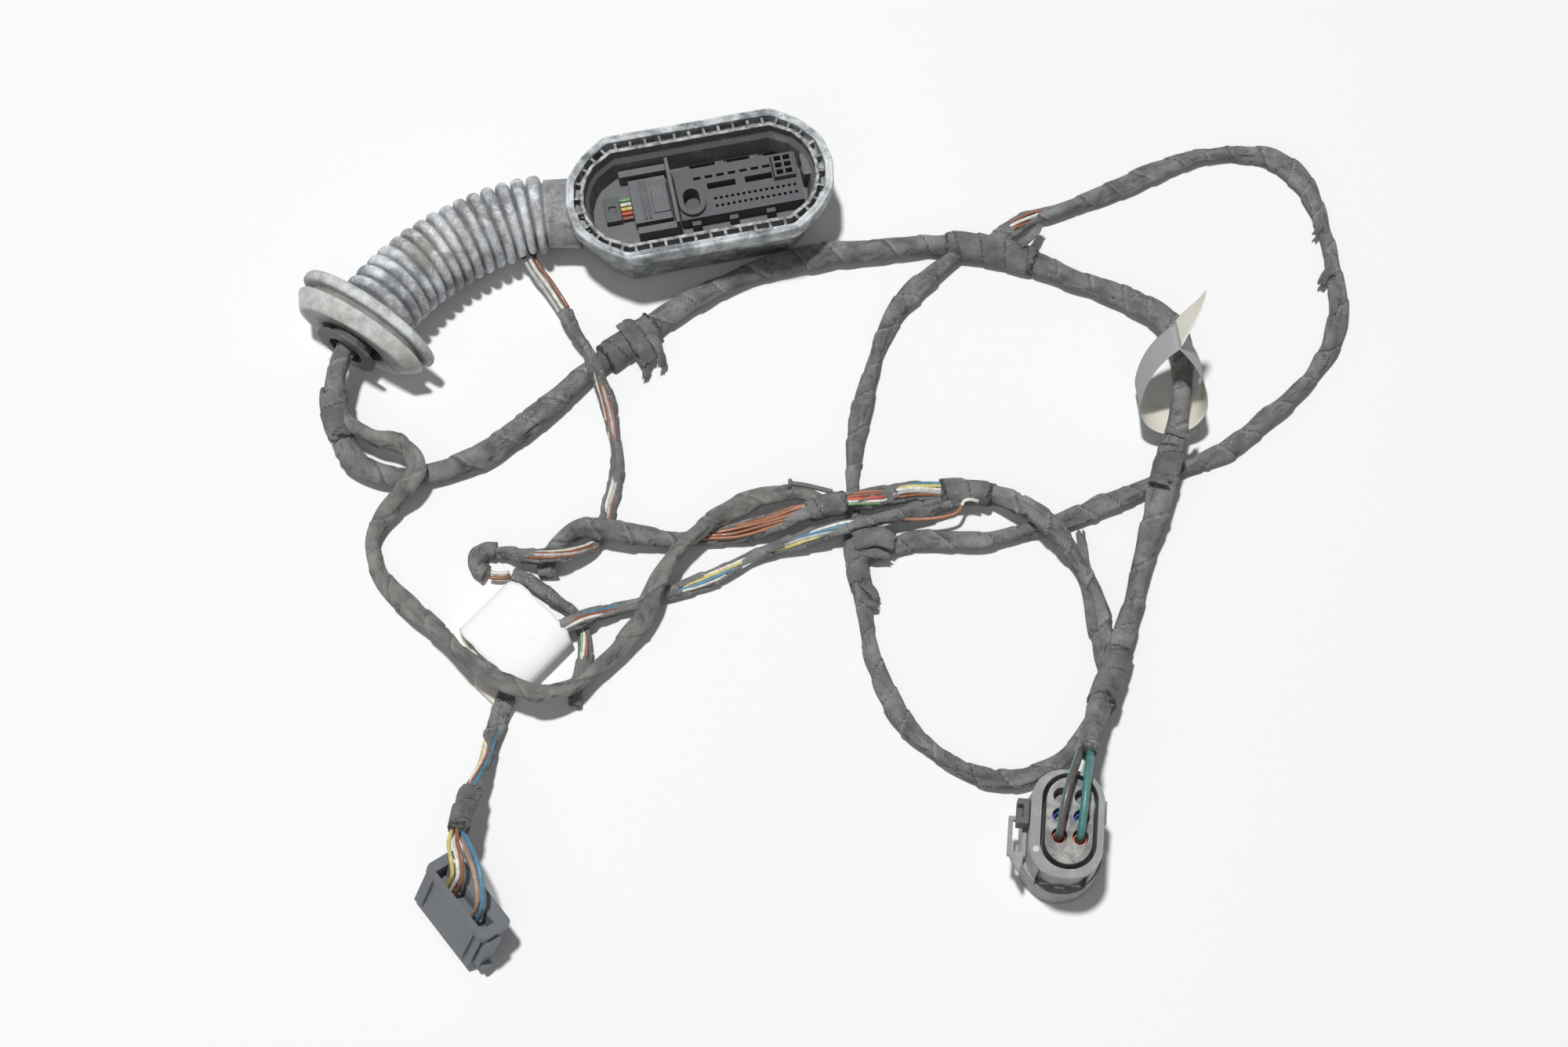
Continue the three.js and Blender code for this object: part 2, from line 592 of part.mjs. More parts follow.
function rubberBoot() {
  const cup = outlineSolid([
    [cupBaseInset + rimChamfer, 0],
    [cupBaseInset, rimChamfer],
    [cupDraftInset, rimBottom - rimChamfer],
    [rimChamfer, rimBottom],
    [0, rimBottom + rimChamfer],
    [0, cupHeight - rimChamfer],
    [rimRidge, cupHeight],
    [rimBand / 2 - rimRidge / 2, cupHeight],
    [rimBand / 2, cupHeight - rimRidge],
    [rimBand / 2 + rimRidge / 2, cupHeight],
    [rimBand, cupHeight],
  ]);
  const hollow = outlineSolid([
    [cupBaseInset + cupWall, cupFloor],
    [cupDraftInset + cupWall, rimBottom - rimChamfer],
    [rimBand + rimLedge, rimBottom + rimChamfer],
    [rimBand, rimBottom + rimChamfer + overlap],
    [rimBand, cupHeight + through],
  ]);
  const notch = block(0, 0, -tear.height / 2, tear.length, tear.width, tear.height)
    .rotate([0, 0, tear.yaw])
    .translate([tear.x, tear.y, tear.z]);
  return placed(cup, cupPlace)
    .add(sleeveOutside())
    .subtract(placed(hollow, cupPlace))
    .subtract(sleeveBore())
    .subtract(notch);
}

// The ring that closes the bellows around the cable
function grommetRing() {
  const outer = grommetBore - fit;
  const inner = outer - ringWall;
  const profile = [
    [snapEnd - ringInside, inner],
    [snapEnd - ringInside, outer],
    [bellowsEnd - ringThickness, outer],
    [bellowsEnd - ringThickness, ringFlange],
    [bellowsEnd, ringFlange],
    [bellowsEnd, inner],
    [snapEnd - ringInside, inner],
  ];
  return bentSolid(profile, bellowsCurve, boreSides, () => 1);
}

// The hard tub in the cup, with a toothed rim and a windowed deck
const cupSlope = (cupBaseInset - cupDraftInset) / (rimBottom - 2 * rimChamfer);
const deckTop = carrierBottom + deckThickness;
const seat = deckTop + fit;
const stemLength = stationBlock.length - 2 * stationStem.shoulder;
const stemWidth = stationBlock.width - 2 * stationStem.shoulder;

function wallInset(z) {
  return cupBaseInset + cupWall - cupSlope * (z - cupFloor);
}

function carrierShell(inset, bottom, top) {
  const bend = rimBottom - rimChamfer;
  return outlineSolid([
    [wallInset(bottom) + inset, bottom],
    [wallInset(bend) + inset, bend],
    [carrierInset + inset, carrierShoulder],
    [carrierInset + inset, top],
  ]);
}

function rimTeeth() {
  const corners = cupOutline(carrierInset - toothLength / 2 + overlap / 2);
  const teeth = [];
  corners.forEach((start, i) => {
    const end = corners[(i + 1) % corners.length];
    const edge = end.clone().sub(start);
    const count = Math.max(1, Math.round(edge.length() / toothPitch));
    const angle = THREE.MathUtils.radToDeg(edge.angle());
    for (let j = 0; j < count; j += 1) {
      const place = start.clone().lerp(end, (j + 0.5) / count);
      const tooth = block(0, 0, 0, toothWidth, toothLength + overlap, toothHeight);
      teeth.push(tooth.rotate([0, 0, angle]).translate([place.x, place.y, carrierTop - toothHeight]));
    }
  });
  return union(teeth);
}

function connectorCarrier() {
  const shell = carrierShell(fit, carrierBottom, carrierTop);
  const inside = carrierShell(fit + carrierWall, deckTop, carrierTop + through);
  const well = block(
    stationBlock.x,
    stationBlock.y,
    carrierBottom - through,
    stemLength + 2 * fit,
    stemWidth + 2 * fit,
    deckThickness + 2 * through,
  );
  const slots = [];
  for (let i = 0; i < deckSlots.count; i += 1) {
    const x = deckSlots.first + (i + 0.5) * deckSlots.pitch;
    for (const side of [1, -1]) {
      const y = stationBlock.y * (side + 1) / 2 + side * deckSlots.offset;
      slots.push(block(x, y, carrierBottom - through, deckSlots.length, deckSlots.width, 2 * deckThickness));
    }
  }
  const loop = block(eye.x, eye.y, deckTop - overlap, eye.length, eye.width, eye.height)
    .subtract(block(eye.x, eye.y, deckTop + eye.height / 2, 2 * eye.length, eye.hole, eye.hole))
    .intersect(carrierShell(fit + overlap, carrierBottom, carrierTop));
  return shell.subtract(inside).subtract(well).subtract(union(slots)).add(rimTeeth()).add(loop);
}

function stationHousing() {
  const body = block(stationBlock.x, stationBlock.y, seat, stationBlock.length, stationBlock.width,
    stationFace - seat);
  const stem = block(stationBlock.x, stationBlock.y, stationStem.bottom, stemLength, stemWidth,
    seat - stationStem.bottom + overlap);
  const cuts = [];
  for (let i = 0; i < pinColumns; i += 1) {
    const x = pinField.x + (i - (pinColumns - 1) / 2) * pinPitch;
    for (const row of [1, -1]) {
      const y = pinField.y + row * pinRowPitch / 2;
      cuts.push(block(x, y, stationFace - pinDepth, pinHole, pinHole, pinDepth + through));
    }
  }
  for (const slot of longSlots) {
    cuts.push(block(slot.x, longSlot.y, stationFace - longSlot.depth, slot.length, longSlot.width,
      longSlot.depth + through));
  }
  for (let i = 0; i < keySlots.count; i += 1) {
    cuts.push(block(keySlots.first + i * keySlots.pitch, keySlots.y, stationFace - keySlots.depth,
      keySlots.length, keySlots.width, keySlots.depth + through));
  }
  cuts.push(block(sixWay.x, sixWay.y, stationFace - sixWayPocket, sixWay.length + 2 * fit,
    sixWay.width + 2 * fit, sixWayPocket + through));
  const boss = prism(roundedRectangle(guideBoss.width, guideBoss.length, guideBoss.width / 2),
    stationFace - overlap, guideBoss.height + overlap)
    .translate([guideX, guideBoss.y, 0]);
  const mouth = prism(
    roundedRectangle(guideBoss.width - 2 * guideBoss.wall, guideBoss.length - 2 * guideBoss.wall,
      guideBoss.width / 2 - guideBoss.wall),
    stationFace - guideBoss.depth, guideBoss.height + guideBoss.depth + through)
    .translate([guideX, guideBoss.y, 0]);
  const tabs = [];
  for (let i = 0; i < sideTabs.count; i += 1) {
    const x = sideTabs.first + i * sideTabs.pitch;
    for (const side of [1, -1]) {
      const y = stationBlock.y + side * (stationBlock.width / 2 + sideTabs.width / 2 - overlap / 2);
      tabs.push(block(x, y, seat, sideTabs.length, sideTabs.width + overlap, sideTabs.height));
    }
  }
  const room = carrierShell(2 * fit + carrierWall, stationStem.bottom, carrierTop);
  return union([body, stem, boss, ...tabs]).intersect(room).subtract(union(cuts)).subtract(mouth);
}

function sixWayInsert() {
  const bottom = stationFace - sixWayPocket + fit;
  const top = stationFace + sixWay.rise;
  const body = block(sixWay.x, sixWay.y, bottom, sixWay.length, sixWay.width, top - bottom);
  const cell = {
    length: (sixWay.length - 3 * sixWay.wall) / 2,
    width: (sixWay.width - 4 * sixWay.wall) / 3,
  };
  const cells = [];
  for (const column of [-1, 1]) {
    for (const row of [-1, 0, 1]) {
      cells.push(block(
        sixWay.x + column * (cell.length + sixWay.wall) / 2,
        sixWay.y + row * (cell.width + sixWay.wall),
        top - sixWay.depth,
        cell.length,
        cell.width,
        sixWay.depth + through,
      ));
    }
  }
  return body.subtract(union(cells));
}

function lockingSlide() {
  const centre = stationBlock.y + (slidePlateSpan.from + slidePlateSpan.to) / 2;
  const width = slidePlateSpan.to - slidePlateSpan.from;
  const height = stationFace + slidePlate.rise - seat;
  const pieces = [block(slideX, centre, seat, slidePlate.thickness, width, height)];
  for (const rail of slideRails) {
    const x = slideX - rail.length / 2;
    pieces.push(block(x, stationBlock.y + rail.offset, seat, rail.length, rail.width, slideRailHeight));
  }
  return union(pieces);
}

function secondaryHousing() {
  const { y, length, width, top } = secondBlock;
  const pieces = [block(secondX, y, seat, length, width, top - seat)];
  for (let i = 0; i < secondRibs.count; i += 1) {
    pieces.push(block(secondX + secondRibs.offset + i * secondRibs.pitch, y, top - overlap, secondRibs.width,
      width - 2 * secondRibs.height, secondRibs.height + overlap));
  }
  pieces.push(block(secondX + secondPanel.offset, y, top - overlap, secondPanel.length, secondPanel.width,
    secondPanel.height + overlap));
  return union(pieces);
}

function wireLockBlock() {
  const { x, y, length, width, top, hole } = lockBlock;
  return block(x, y, seat, length, width, top - seat)
    .subtract(block(x, y, seat + deckThickness, hole, hole, top));
}

function stationWire(index) {
  const y = lockBlock.y + (index - (stationWireTints.length - 1) / 2) * stationWirePitch;
  const z = (seat + lockBlock.top) / 2;
  const start = lockBlock.x + lockBlock.length / 2 + fit;
  const end = secondX - secondBlock.length / 2 - fit;
  const curve = new THREE.LineCurve3(new THREE.Vector3(start, y, z), new THREE.Vector3(end, y, z));
  return tube(curve, wireDiameter, cordSides, 1);
}

// Cables, each cut back where it leaves a wrap or meets another cable
const trunk = cable(trunkRoute, trunkDiameter, trunkSides);
const smooth = cable(smoothRoute, leadDiameter);
const middle = cable(middleRoute, loopDiameter);
const plugLead = cable(plugRoute, plugLeadDiameter);
const bootLead = cable(bootLeadRoute, bootLeadDiameter);
const tail = cable(tailRoute, bootLeadDiameter);
const cross = cable(crossRoute, leadDiameter);
const rear = cable(rearRoute, leadDiameter);
const bundle = cable(bundleRoute, bundleDiameter, trunkSides);
const fold = cable(foldRoute, foldDiameter);

const exitWrap = wrapAround(trunk, wrapExit);
const bulgeWrap = wrapAround(trunk, wrapBulge);
const upperWrap = wrapAround(trunk, wrapUpper);
const frayWrap = wrapAround(trunk, wrapFray);
const mergeWrap = wrapAround(trunk, wrapMerge);
const joinWrap = wrapAround(middle, wrapJoin);
const centreWrap = wrapAround(middle, wrapCentre);
const teeWrap = wrapAround(cross, wrapTee);
const plugWrap = wrapAround(plugLead, wrapPlug);

function trimmed(run, carriers) {
  const rest = carriers.reduce((solid, carrier) => solid.subtract(carrier.reach), run.solid);
  const bodies = rest.decompose();
  return bodies.reduce((largest, body) => (body.volume() > largest.volume() ? body : largest));
}

// Bare wires side by side along one hand-laid line
function spreadWire(route, offset, diameter) {
  const points = route.map(([x, y, z], i) => {
    const next = route[Math.min(i + 1, route.length - 1)];
    const last = route[Math.max(i - 1, 0)];
    const side = new THREE.Vector2(next[1] - last[1], last[0] - next[0]).normalize();
    return [x + side.x * offset, y + side.y * offset, z];
  });
  return cable(points, diameter).solid;
}

// The sealed connector, in its own frame with the mating face at z = 0
function sealConnector() {
  const opening = { width: shroud.width - 2 * shroud.wall, length: shroud.length - 2 * shroud.wall };
  const skirt = prism(roundedRectangle(shroud.width, shroud.length, shroud.corner), 0, shroud.height);
  const body = prism(roundedRectangle(sealBody.width, sealBody.length, sealBody.corner),
    shroud.height - overlap, sealHeight - shroud.height + overlap);
  const mouth = prism(roundedRectangle(opening.width, opening.length, shroud.corner - shroud.wall),
    -through, shroud.depth + through);
  const pocket = prism(roundedRectangle(recess.width, recess.length, recess.width / 2 - overlap),
    sealHeight - recess.depth, recess.depth + through)
    .translate([insertPlace.x, insertPlace.y, 0]);
  const core = prism(
    roundedRectangle(sealBody.width - windowCut.depth, sealBody.length - windowCut.depth,
      sealBody.corner - windowCut.depth / 2),
    0, sealHeight);
  const frontWindow = block(0, -sealBody.length / 2, windowCut.bottom, windowCut.width, sealBody.corner * 2,
    windowCut.top - windowCut.bottom).subtract(core);
  const keys = [];
  for (let i = 0; i < codeKey.count; i += 1) {
    const x = (i - (codeKey.count - 1) / 2) * codeKey.pitch;
    const y = -sealBody.length / 2 + windowCut.depth / 2 + codeKey.drop * Math.abs(x);
    keys.push(block(x, y, windowCut.bottom + fit, codeKey.width, codeKey.depth, codeKey.height));
  }
  const rib = block(sealBody.width / 2, sideRib.y, shroud.height - overlap, sideRib.width, sideRib.length,
    sideRib.height);
  return union([skirt, body, rib])
    .subtract(frontWindow)
    .add(union(keys))
    .subtract(union([mouth, pocket]));
}

function eachCavity(visit) {
  for (let row = 0; row < cavityRows; row += 1) {
    for (const column of [-1, 1]) {
      const x = cavityPlace.x + column * cavityPitch.x / 2;
      const y = cavityPlace.y + (1 - row) * cavityPitch.y;
      visit(x, y, row, column);
    }
  }
}

function sealInsert() {
  const bottom = sealHeight - recess.depth + fit;
  const top = sealHeight + insert.proud;
  const cavities = [];
  eachCavity((x, y) => {
    cavities.push(post(x, y, top - cavityDepth, cavityDiameter / 2, cavityDepth + through, cavitySides));
  });
  return prism(roundedRectangle(insert.width, insert.length, insert.width / 2), bottom, top - bottom)
    .translate([insertPlace.x, insertPlace.y, 0])
    .subtract(union(cavities));
}

const sealFloor = sealHeight + insert.proud - cavityDepth + fit;

function wireSeal(x, y) {
  const radius = cavityDiameter / 2 - fit;
  return post(x, y, sealFloor, radius, sealThickness, cavitySides)
    .subtract(post(x, y, sealFloor - through, heavyWireDiameter / 2 + fit, sealThickness + 2 * through));
}

function latchPiece() {
  const x = -(sealBody.width / 2 + fit + latchBlock.width / 2);
  const bottom = latchBlock.top - latchBlock.height;
  const notch = block(x - latchBlock.width / 2, latchBlock.y, latchBlock.top - latchBlock.height / 2,
    latchBlock.width, latchBlock.length / 2, latchBlock.height);
  return block(x, latchBlock.y, bottom, latchBlock.width, latchBlock.length, latchBlock.height)
    .subtract(notch);
}

function leverPiece() {
  const x = -(sealBody.width / 2 + fit + leverFrame.width / 2);
  const frame = block(x, leverFrame.y, leverFrame.z, leverFrame.width, leverFrame.length, leverFrame.height)
    .subtract(block(x, leverFrame.y, leverFrame.z - through, leverFrame.width - 2 * leverFrame.wall,
      leverFrame.length - 2 * leverFrame.wall, leverFrame.height + 2 * through));
  const front = leverFrame.y - leverFrame.length / 2;
  const point = new THREE.Shape();
  point.moveTo(x - leverTail.width, front + overlap);
  point.lineTo(x + leverTail.width, front + overlap);
  point.lineTo(x + leverTail.width / 2, front - leverTail.length);
  point.closePath();
  return frame.add(prism(point, leverFrame.z, leverFrame.height));
}

// The flat plug: x across, y = 0 its main face, +z towards the mating end
function plugPlaced(solid) {
  const lean = THREE.MathUtils.degToRad(plugPlace.lean);
  const rise = plugBody.length * Math.sin(lean) + plugBody.thickness * Math.cos(lean) + fit;
  return solid.rotate([90 + plugPlace.lean, 0, plugPlace.yaw]).translate([plugPlace.x, plugPlace.y, rise]);
}

function plugHousing() {
  const { width, thickness, length, wall, socketDepth } = plugBody;
  const body = block(0, -thickness / 2, 0, width, thickness, length);
  const flange = prism(roundedRectangle(plugFlange.width, plugFlange.depth, plugFlange.corner),
    -plugFlange.proud, plugFlange.thickness)
    .translate([0, -plugFlange.depth / 2 + plugFlange.proud, 0]);
  const socket = block(0, -thickness / 2, length - socketDepth, width - 2 * wall, thickness - 2 * wall,
    socketDepth + through);
  const entry = block(0, -thickness / 2, -plugFlange.proud - through, plugEntry.width, plugEntry.depth,
    plugEntry.reach + plugFlange.proud + through);
  const eyeHole = post(plugEye.x, plugEye.y, -2 * through, plugEye.radius, plugFlange.thickness + 3 * through);
  const rails = [-plugRail.offset, plugRail.offset].map((x) => block(x, plugRail.height / 2 - overlap,
    plugFlange.thickness - plugFlange.proud - overlap, plugRail.width, plugRail.height + overlap,
    plugRail.length));
  const sideRail = block(-width / 2 - plugRail.height / 2 + overlap, -thickness / 2,
    plugFlange.thickness - plugFlange.proud - overlap, plugRail.height + overlap, plugRail.width,
    plugRail.length);
  return union([body, flange, sideRail, ...rails]).subtract(union([socket, entry, eyeHole]));
}

function plugLock() {
  const bottom = plugFlange.thickness - plugFlange.proud + fit;
  const x = plugBody.width / 2 + fit + plugKeeper.width / 2;
  const stem = block(x, -plugBody.thickness / 2, bottom, plugKeeper.width, plugKeeper.thickness,
    plugKeeper.length);
  const hook = block(x + plugKeeper.hook / 2, -plugBody.thickness / 2,
    bottom + plugKeeper.length - plugKeeper.hook, plugKeeper.width + plugKeeper.hook,
    plugKeeper.thickness - plugKeeper.hook, plugKeeper.hook);
  return stem.add(hook);
}

function pocketPaper() {
  const { length, width, height, x, y, yaw } = pocketLabel;
  const outer = roundedRectangle(width, height, height / 2);
  const inner = roundedRectangle(width - 2 * paper, height - 2 * paper, height / 2 - paper);
  return prism(outer, -length / 2, length)
    .subtract(prism(inner, -length, 2 * length))
    .rotate([90, 0, yaw - 90])
    .translate([x, y, height / 2 + fit]);
}

// A paper band closed into a drop, with both of its ends stuck together as a tail
function flagPaper() {
  const { width, height, band, tail: reach, tailAngle, shoulder: bend, pinch } = flagLabel;
  const radius = width / 2;
  const outline = (inset) => {
    const shape = new THREE.Shape();
    shape.absarc(0, radius, radius - inset, Math.PI, 2 * Math.PI, false);
    shape.quadraticCurveTo(radius - inset, height * bend, 0, height - inset * pinch);
    shape.quadraticCurveTo(inset - radius, height * bend, inset - radius, radius);
    return shape;
  };
  const drop = prism(outline(0), 0, band, flagSegments)
    .subtract(prism(outline(paper), -through, band + 2 * through, flagSegments));
  const flag = block(0, 0, 0, 2 * paper, band, reach)
    .rotate([-90, 0, 0])
    .translate([0, 0, band / 2]);
  const turned = flag
    .rotate([0, 0, -tailAngle])
    .translate([0, height - overlap * pinch, 0]);
  return drop.add(turned);
}

function flagPlaced(solid) {
  return solid
    .rotate([0, 0, flagLabel.lean])
    .rotate([flagLabel.tilt, 0, 0])
    .translate([flagLabel.x, flagLabel.y, flagLabel.z]);
}

function inCup(solid) {
  return placed(solid, cupPlace);
}

function inSeal(solid) {
  return placed(solid, sealPlace);
}

// Finishes
const rubber = () => material(0x4a4d52, 0.85);
const tape = () => material(0x53545a, 0.9);
const tapeWrap = () => material(0x46474c, 0.92);
const darkPlastic = () => material(0x26282b, 0.45);
const insulation = (color) => material(color, 0.45);
const label = () => material(0xd9d7cf, 0.8);

const group = new THREE.Group();
group.name = 'wiring_harness';

function add(name, solid, finish) {
  group.add(named(name, solid, finish));
}

add('rubber_boot', rubberBoot(), rubber());
add('grommet_ring', grommetRing(), darkPlastic());
add('connector_carrier', inCup(connectorCarrier()), material(0x8a8d90, 0.45));
add('station_housing', inCup(stationHousing()), darkPlastic());
add('six_way_insert', inCup(sixWayInsert()), darkPlastic());
add('locking_slide', inCup(lockingSlide()), darkPlastic());
add('secondary_housing', inCup(secondaryHousing()), material(0x5a5d60, 0.5));
add('wire_lock_block', inCup(wireLockBlock()), darkPlastic());
stationWireTints.forEach((color, i) => {
  add(`station_wire_${i + 1}`, inCup(stationWire(i)), insulation(color));
});
add('boot_bundle', bundle.solid, tape());

add('trunk', trunk.solid, tape());
add('smooth_lead', trimmed(smooth, [trunk, exitWrap, middle, joinWrap]), material(0x4b4640, 0.6));
add('middle_lead', trimmed(middle, [trunk, mergeWrap]), tape());
add('plug_lead', trimmed(plugLead, [middle, centreWrap, joinWrap]), tape());
add('boot_lead', trimmed(bootLead, [fold]), tape());
add('tail_lead', tail.solid, tape());
add('cross_lead', trimmed(cross, [trunk, upperWrap, mergeWrap]), tape());
add('rear_lead', trimmed(rear, [trunk, upperWrap, cross, teeWrap]), tape());

add('exit_wrap', exitWrap.solid, tapeWrap());
add('bulge_wrap', bulgeWrap.solid, tapeWrap());
add('upper_wrap', upperWrap.solid, tapeWrap());
add('fray_wrap', frayWrap.solid, tapeWrap());
add('merge_wrap', mergeWrap.solid, tapeWrap());
add('join_wrap', joinWrap.solid, tapeWrap());
add('centre_wrap', centreWrap.solid, tapeWrap());
add('tee_wrap', teeWrap.solid, tapeWrap());
add('plug_wrap', plugWrap.solid, tapeWrap());
add('tape_fold', fold.solid, tapeWrap());

bareWireTints.forEach((color, i) => {
  const offset = (i - (bareWireTints.length - 1) / 2) * bareWireSpread;
  add(`lead_wire_${i + 1}`, spreadWire(bareWireRoute, offset, wireDiameter), insulation(color));
});
foldWireTints.forEach((color, i) => {
  const offset = (i - (foldWireTints.length - 1) / 2) * bareWireSpread;
  add(`fold_wire_${i + 1}`, spreadWire(foldWireRoute, offset, wireDiameter), insulation(color));
});

add('seal_housing', inSeal(sealConnector()), material(0x57534f, 0.6));
add('seal_insert', inSeal(sealInsert()), darkPlastic());
add('seal_latch', inSeal(latchPiece()), darkPlastic());
add('seal_lever', inSeal(leverPiece()), material(0x57534f, 0.6));
eachCavity((x, y, row, column) => {
  if (row === 0) return;
  const side = column < 0 ? 'left' : 'right';
  const color = row === 1 ? blueSeal : redSeal;
  const name = `wire_seal_${row === 1 ? 'blue' : 'red'}_${side}`;
  add(name, inSeal(wireSeal(x, y)), insulation(color));
});
heavyWireRoutes.forEach((route, i) => {
  add(`power_wire_${i + 1}`, cable(route, heavyWireDiameter).solid, insulation(heavyWireTints[i]));
});

add('plug_housing', plugPlaced(plugHousing()), darkPlastic());
add('plug_lock', plugPlaced(plugLock()), darkPlastic());
plugWireRoutes.forEach((route, i) => {
  add(`plug_wire_${i + 1}`, cable(route, wireDiameter).solid, insulation(plugWireTints[i]));
});

add('pocket_label', pocketPaper(), label());
add('flag_label', flagPlaced(flagPaper()), label());

export default group;
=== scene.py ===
# Wiring harness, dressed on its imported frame.
import json
import math
import bpy
from mathutils import Vector, noise
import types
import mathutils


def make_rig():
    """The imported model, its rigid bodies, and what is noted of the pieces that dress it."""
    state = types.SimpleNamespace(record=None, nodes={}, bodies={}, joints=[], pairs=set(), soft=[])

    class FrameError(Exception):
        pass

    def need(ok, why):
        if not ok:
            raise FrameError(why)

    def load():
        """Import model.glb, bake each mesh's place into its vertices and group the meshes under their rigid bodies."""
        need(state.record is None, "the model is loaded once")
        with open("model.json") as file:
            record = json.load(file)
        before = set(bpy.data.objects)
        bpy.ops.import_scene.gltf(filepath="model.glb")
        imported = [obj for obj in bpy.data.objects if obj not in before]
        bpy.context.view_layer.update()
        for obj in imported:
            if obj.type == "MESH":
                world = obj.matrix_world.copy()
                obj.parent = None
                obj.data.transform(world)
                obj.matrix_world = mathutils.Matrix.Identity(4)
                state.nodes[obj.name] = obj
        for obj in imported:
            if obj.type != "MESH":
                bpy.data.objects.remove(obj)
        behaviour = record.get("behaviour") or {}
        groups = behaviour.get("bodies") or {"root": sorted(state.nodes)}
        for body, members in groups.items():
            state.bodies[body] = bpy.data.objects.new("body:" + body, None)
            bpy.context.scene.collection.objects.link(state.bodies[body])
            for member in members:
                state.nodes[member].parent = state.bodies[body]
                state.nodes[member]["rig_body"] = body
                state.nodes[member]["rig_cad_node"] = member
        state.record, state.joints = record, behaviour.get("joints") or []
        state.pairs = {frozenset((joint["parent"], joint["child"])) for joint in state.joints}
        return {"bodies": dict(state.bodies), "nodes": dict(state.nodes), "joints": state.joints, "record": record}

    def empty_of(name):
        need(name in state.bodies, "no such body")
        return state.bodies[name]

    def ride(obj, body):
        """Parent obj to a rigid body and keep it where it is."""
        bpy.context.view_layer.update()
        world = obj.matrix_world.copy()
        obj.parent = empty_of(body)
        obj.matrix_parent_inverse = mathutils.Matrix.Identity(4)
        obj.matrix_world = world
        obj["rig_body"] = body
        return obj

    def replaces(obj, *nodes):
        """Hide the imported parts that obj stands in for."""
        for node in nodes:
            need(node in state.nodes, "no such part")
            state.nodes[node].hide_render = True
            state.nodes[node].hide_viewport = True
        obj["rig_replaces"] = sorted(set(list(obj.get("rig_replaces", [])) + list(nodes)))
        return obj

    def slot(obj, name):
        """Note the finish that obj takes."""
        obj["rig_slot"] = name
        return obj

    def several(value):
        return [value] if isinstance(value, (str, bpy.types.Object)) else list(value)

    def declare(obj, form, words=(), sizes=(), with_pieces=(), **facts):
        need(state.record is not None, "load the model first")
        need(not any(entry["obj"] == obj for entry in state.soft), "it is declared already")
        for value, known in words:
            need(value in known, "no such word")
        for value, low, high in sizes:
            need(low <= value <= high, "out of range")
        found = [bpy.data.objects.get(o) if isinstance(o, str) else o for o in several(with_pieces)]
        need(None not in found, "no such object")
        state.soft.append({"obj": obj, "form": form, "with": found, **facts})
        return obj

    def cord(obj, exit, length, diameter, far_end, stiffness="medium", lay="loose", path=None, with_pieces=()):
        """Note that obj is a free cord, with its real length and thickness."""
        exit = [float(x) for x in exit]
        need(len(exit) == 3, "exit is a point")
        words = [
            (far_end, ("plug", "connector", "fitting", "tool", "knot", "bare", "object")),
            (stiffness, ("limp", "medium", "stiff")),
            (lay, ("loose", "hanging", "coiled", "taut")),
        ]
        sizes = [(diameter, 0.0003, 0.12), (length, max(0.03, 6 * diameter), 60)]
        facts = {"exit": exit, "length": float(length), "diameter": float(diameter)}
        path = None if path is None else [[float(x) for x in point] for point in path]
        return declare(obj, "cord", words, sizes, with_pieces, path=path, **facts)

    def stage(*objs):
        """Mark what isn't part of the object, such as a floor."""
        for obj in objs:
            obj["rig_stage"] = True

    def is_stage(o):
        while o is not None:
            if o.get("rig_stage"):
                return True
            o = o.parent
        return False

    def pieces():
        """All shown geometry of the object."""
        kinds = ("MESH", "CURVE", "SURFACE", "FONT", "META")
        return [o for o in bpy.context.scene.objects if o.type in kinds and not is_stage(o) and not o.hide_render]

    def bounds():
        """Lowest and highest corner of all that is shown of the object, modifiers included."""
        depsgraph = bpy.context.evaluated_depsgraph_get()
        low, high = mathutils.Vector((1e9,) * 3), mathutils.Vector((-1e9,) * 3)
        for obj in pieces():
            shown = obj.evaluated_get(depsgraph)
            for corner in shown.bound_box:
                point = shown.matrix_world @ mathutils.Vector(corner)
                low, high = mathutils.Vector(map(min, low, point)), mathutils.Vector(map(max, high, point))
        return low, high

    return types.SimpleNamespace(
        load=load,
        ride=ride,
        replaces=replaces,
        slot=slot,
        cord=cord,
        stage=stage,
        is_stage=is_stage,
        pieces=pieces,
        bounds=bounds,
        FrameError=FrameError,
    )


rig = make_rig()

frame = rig.load()
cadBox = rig.bounds()
nodes = frame["nodes"]
mm = 0.001
fullTurn = 2 * math.pi
floorGap = 0.0002
black = (0, 0, 0)
white = (1, 1, 1)

# Camera at the photograph's angle
cameraLook = {"place": (0.043, -0.4061, 1.0736), "target": (0.043, 0.006, 0.0), "lens": 60.0}
cameraData = bpy.data.cameras.new("camera")
cameraData.lens = cameraLook["lens"]
cameraData.sensor_width = 36.0
cameraData.clip_end = 20.0
camera = bpy.data.objects.new("camera", cameraData)
bpy.context.collection.objects.link(camera)
camera.location = cameraLook["place"]
towards = Vector(cameraLook["target"]) - Vector(cameraLook["place"])
camera.rotation_euler = towards.to_track_quat("-Z", "Y").to_euler()
bpy.context.scene.camera = camera
bpy.context.scene.view_settings.view_transform = "Standard"
print("camera set")


# Node materials
def newMaterial(name):
    mat = bpy.data.materials.new(name)
    mat.use_nodes = True
    return mat, mat.node_tree, mat.node_tree.nodes["Principled BSDF"]


def ramp(tree, source, stops):
    node = tree.nodes.new("ShaderNodeValToRGB")
    while len(node.color_ramp.elements) < len(stops):
        node.color_ramp.elements.new(0.5)
    for element, (place, color) in zip(node.color_ramp.elements, stops):
        element.position = place
        element.color = (*color, 1) if len(color) == 3 else color
    tree.links.new(source, node.inputs["Fac"])
    return node.outputs["Color"]


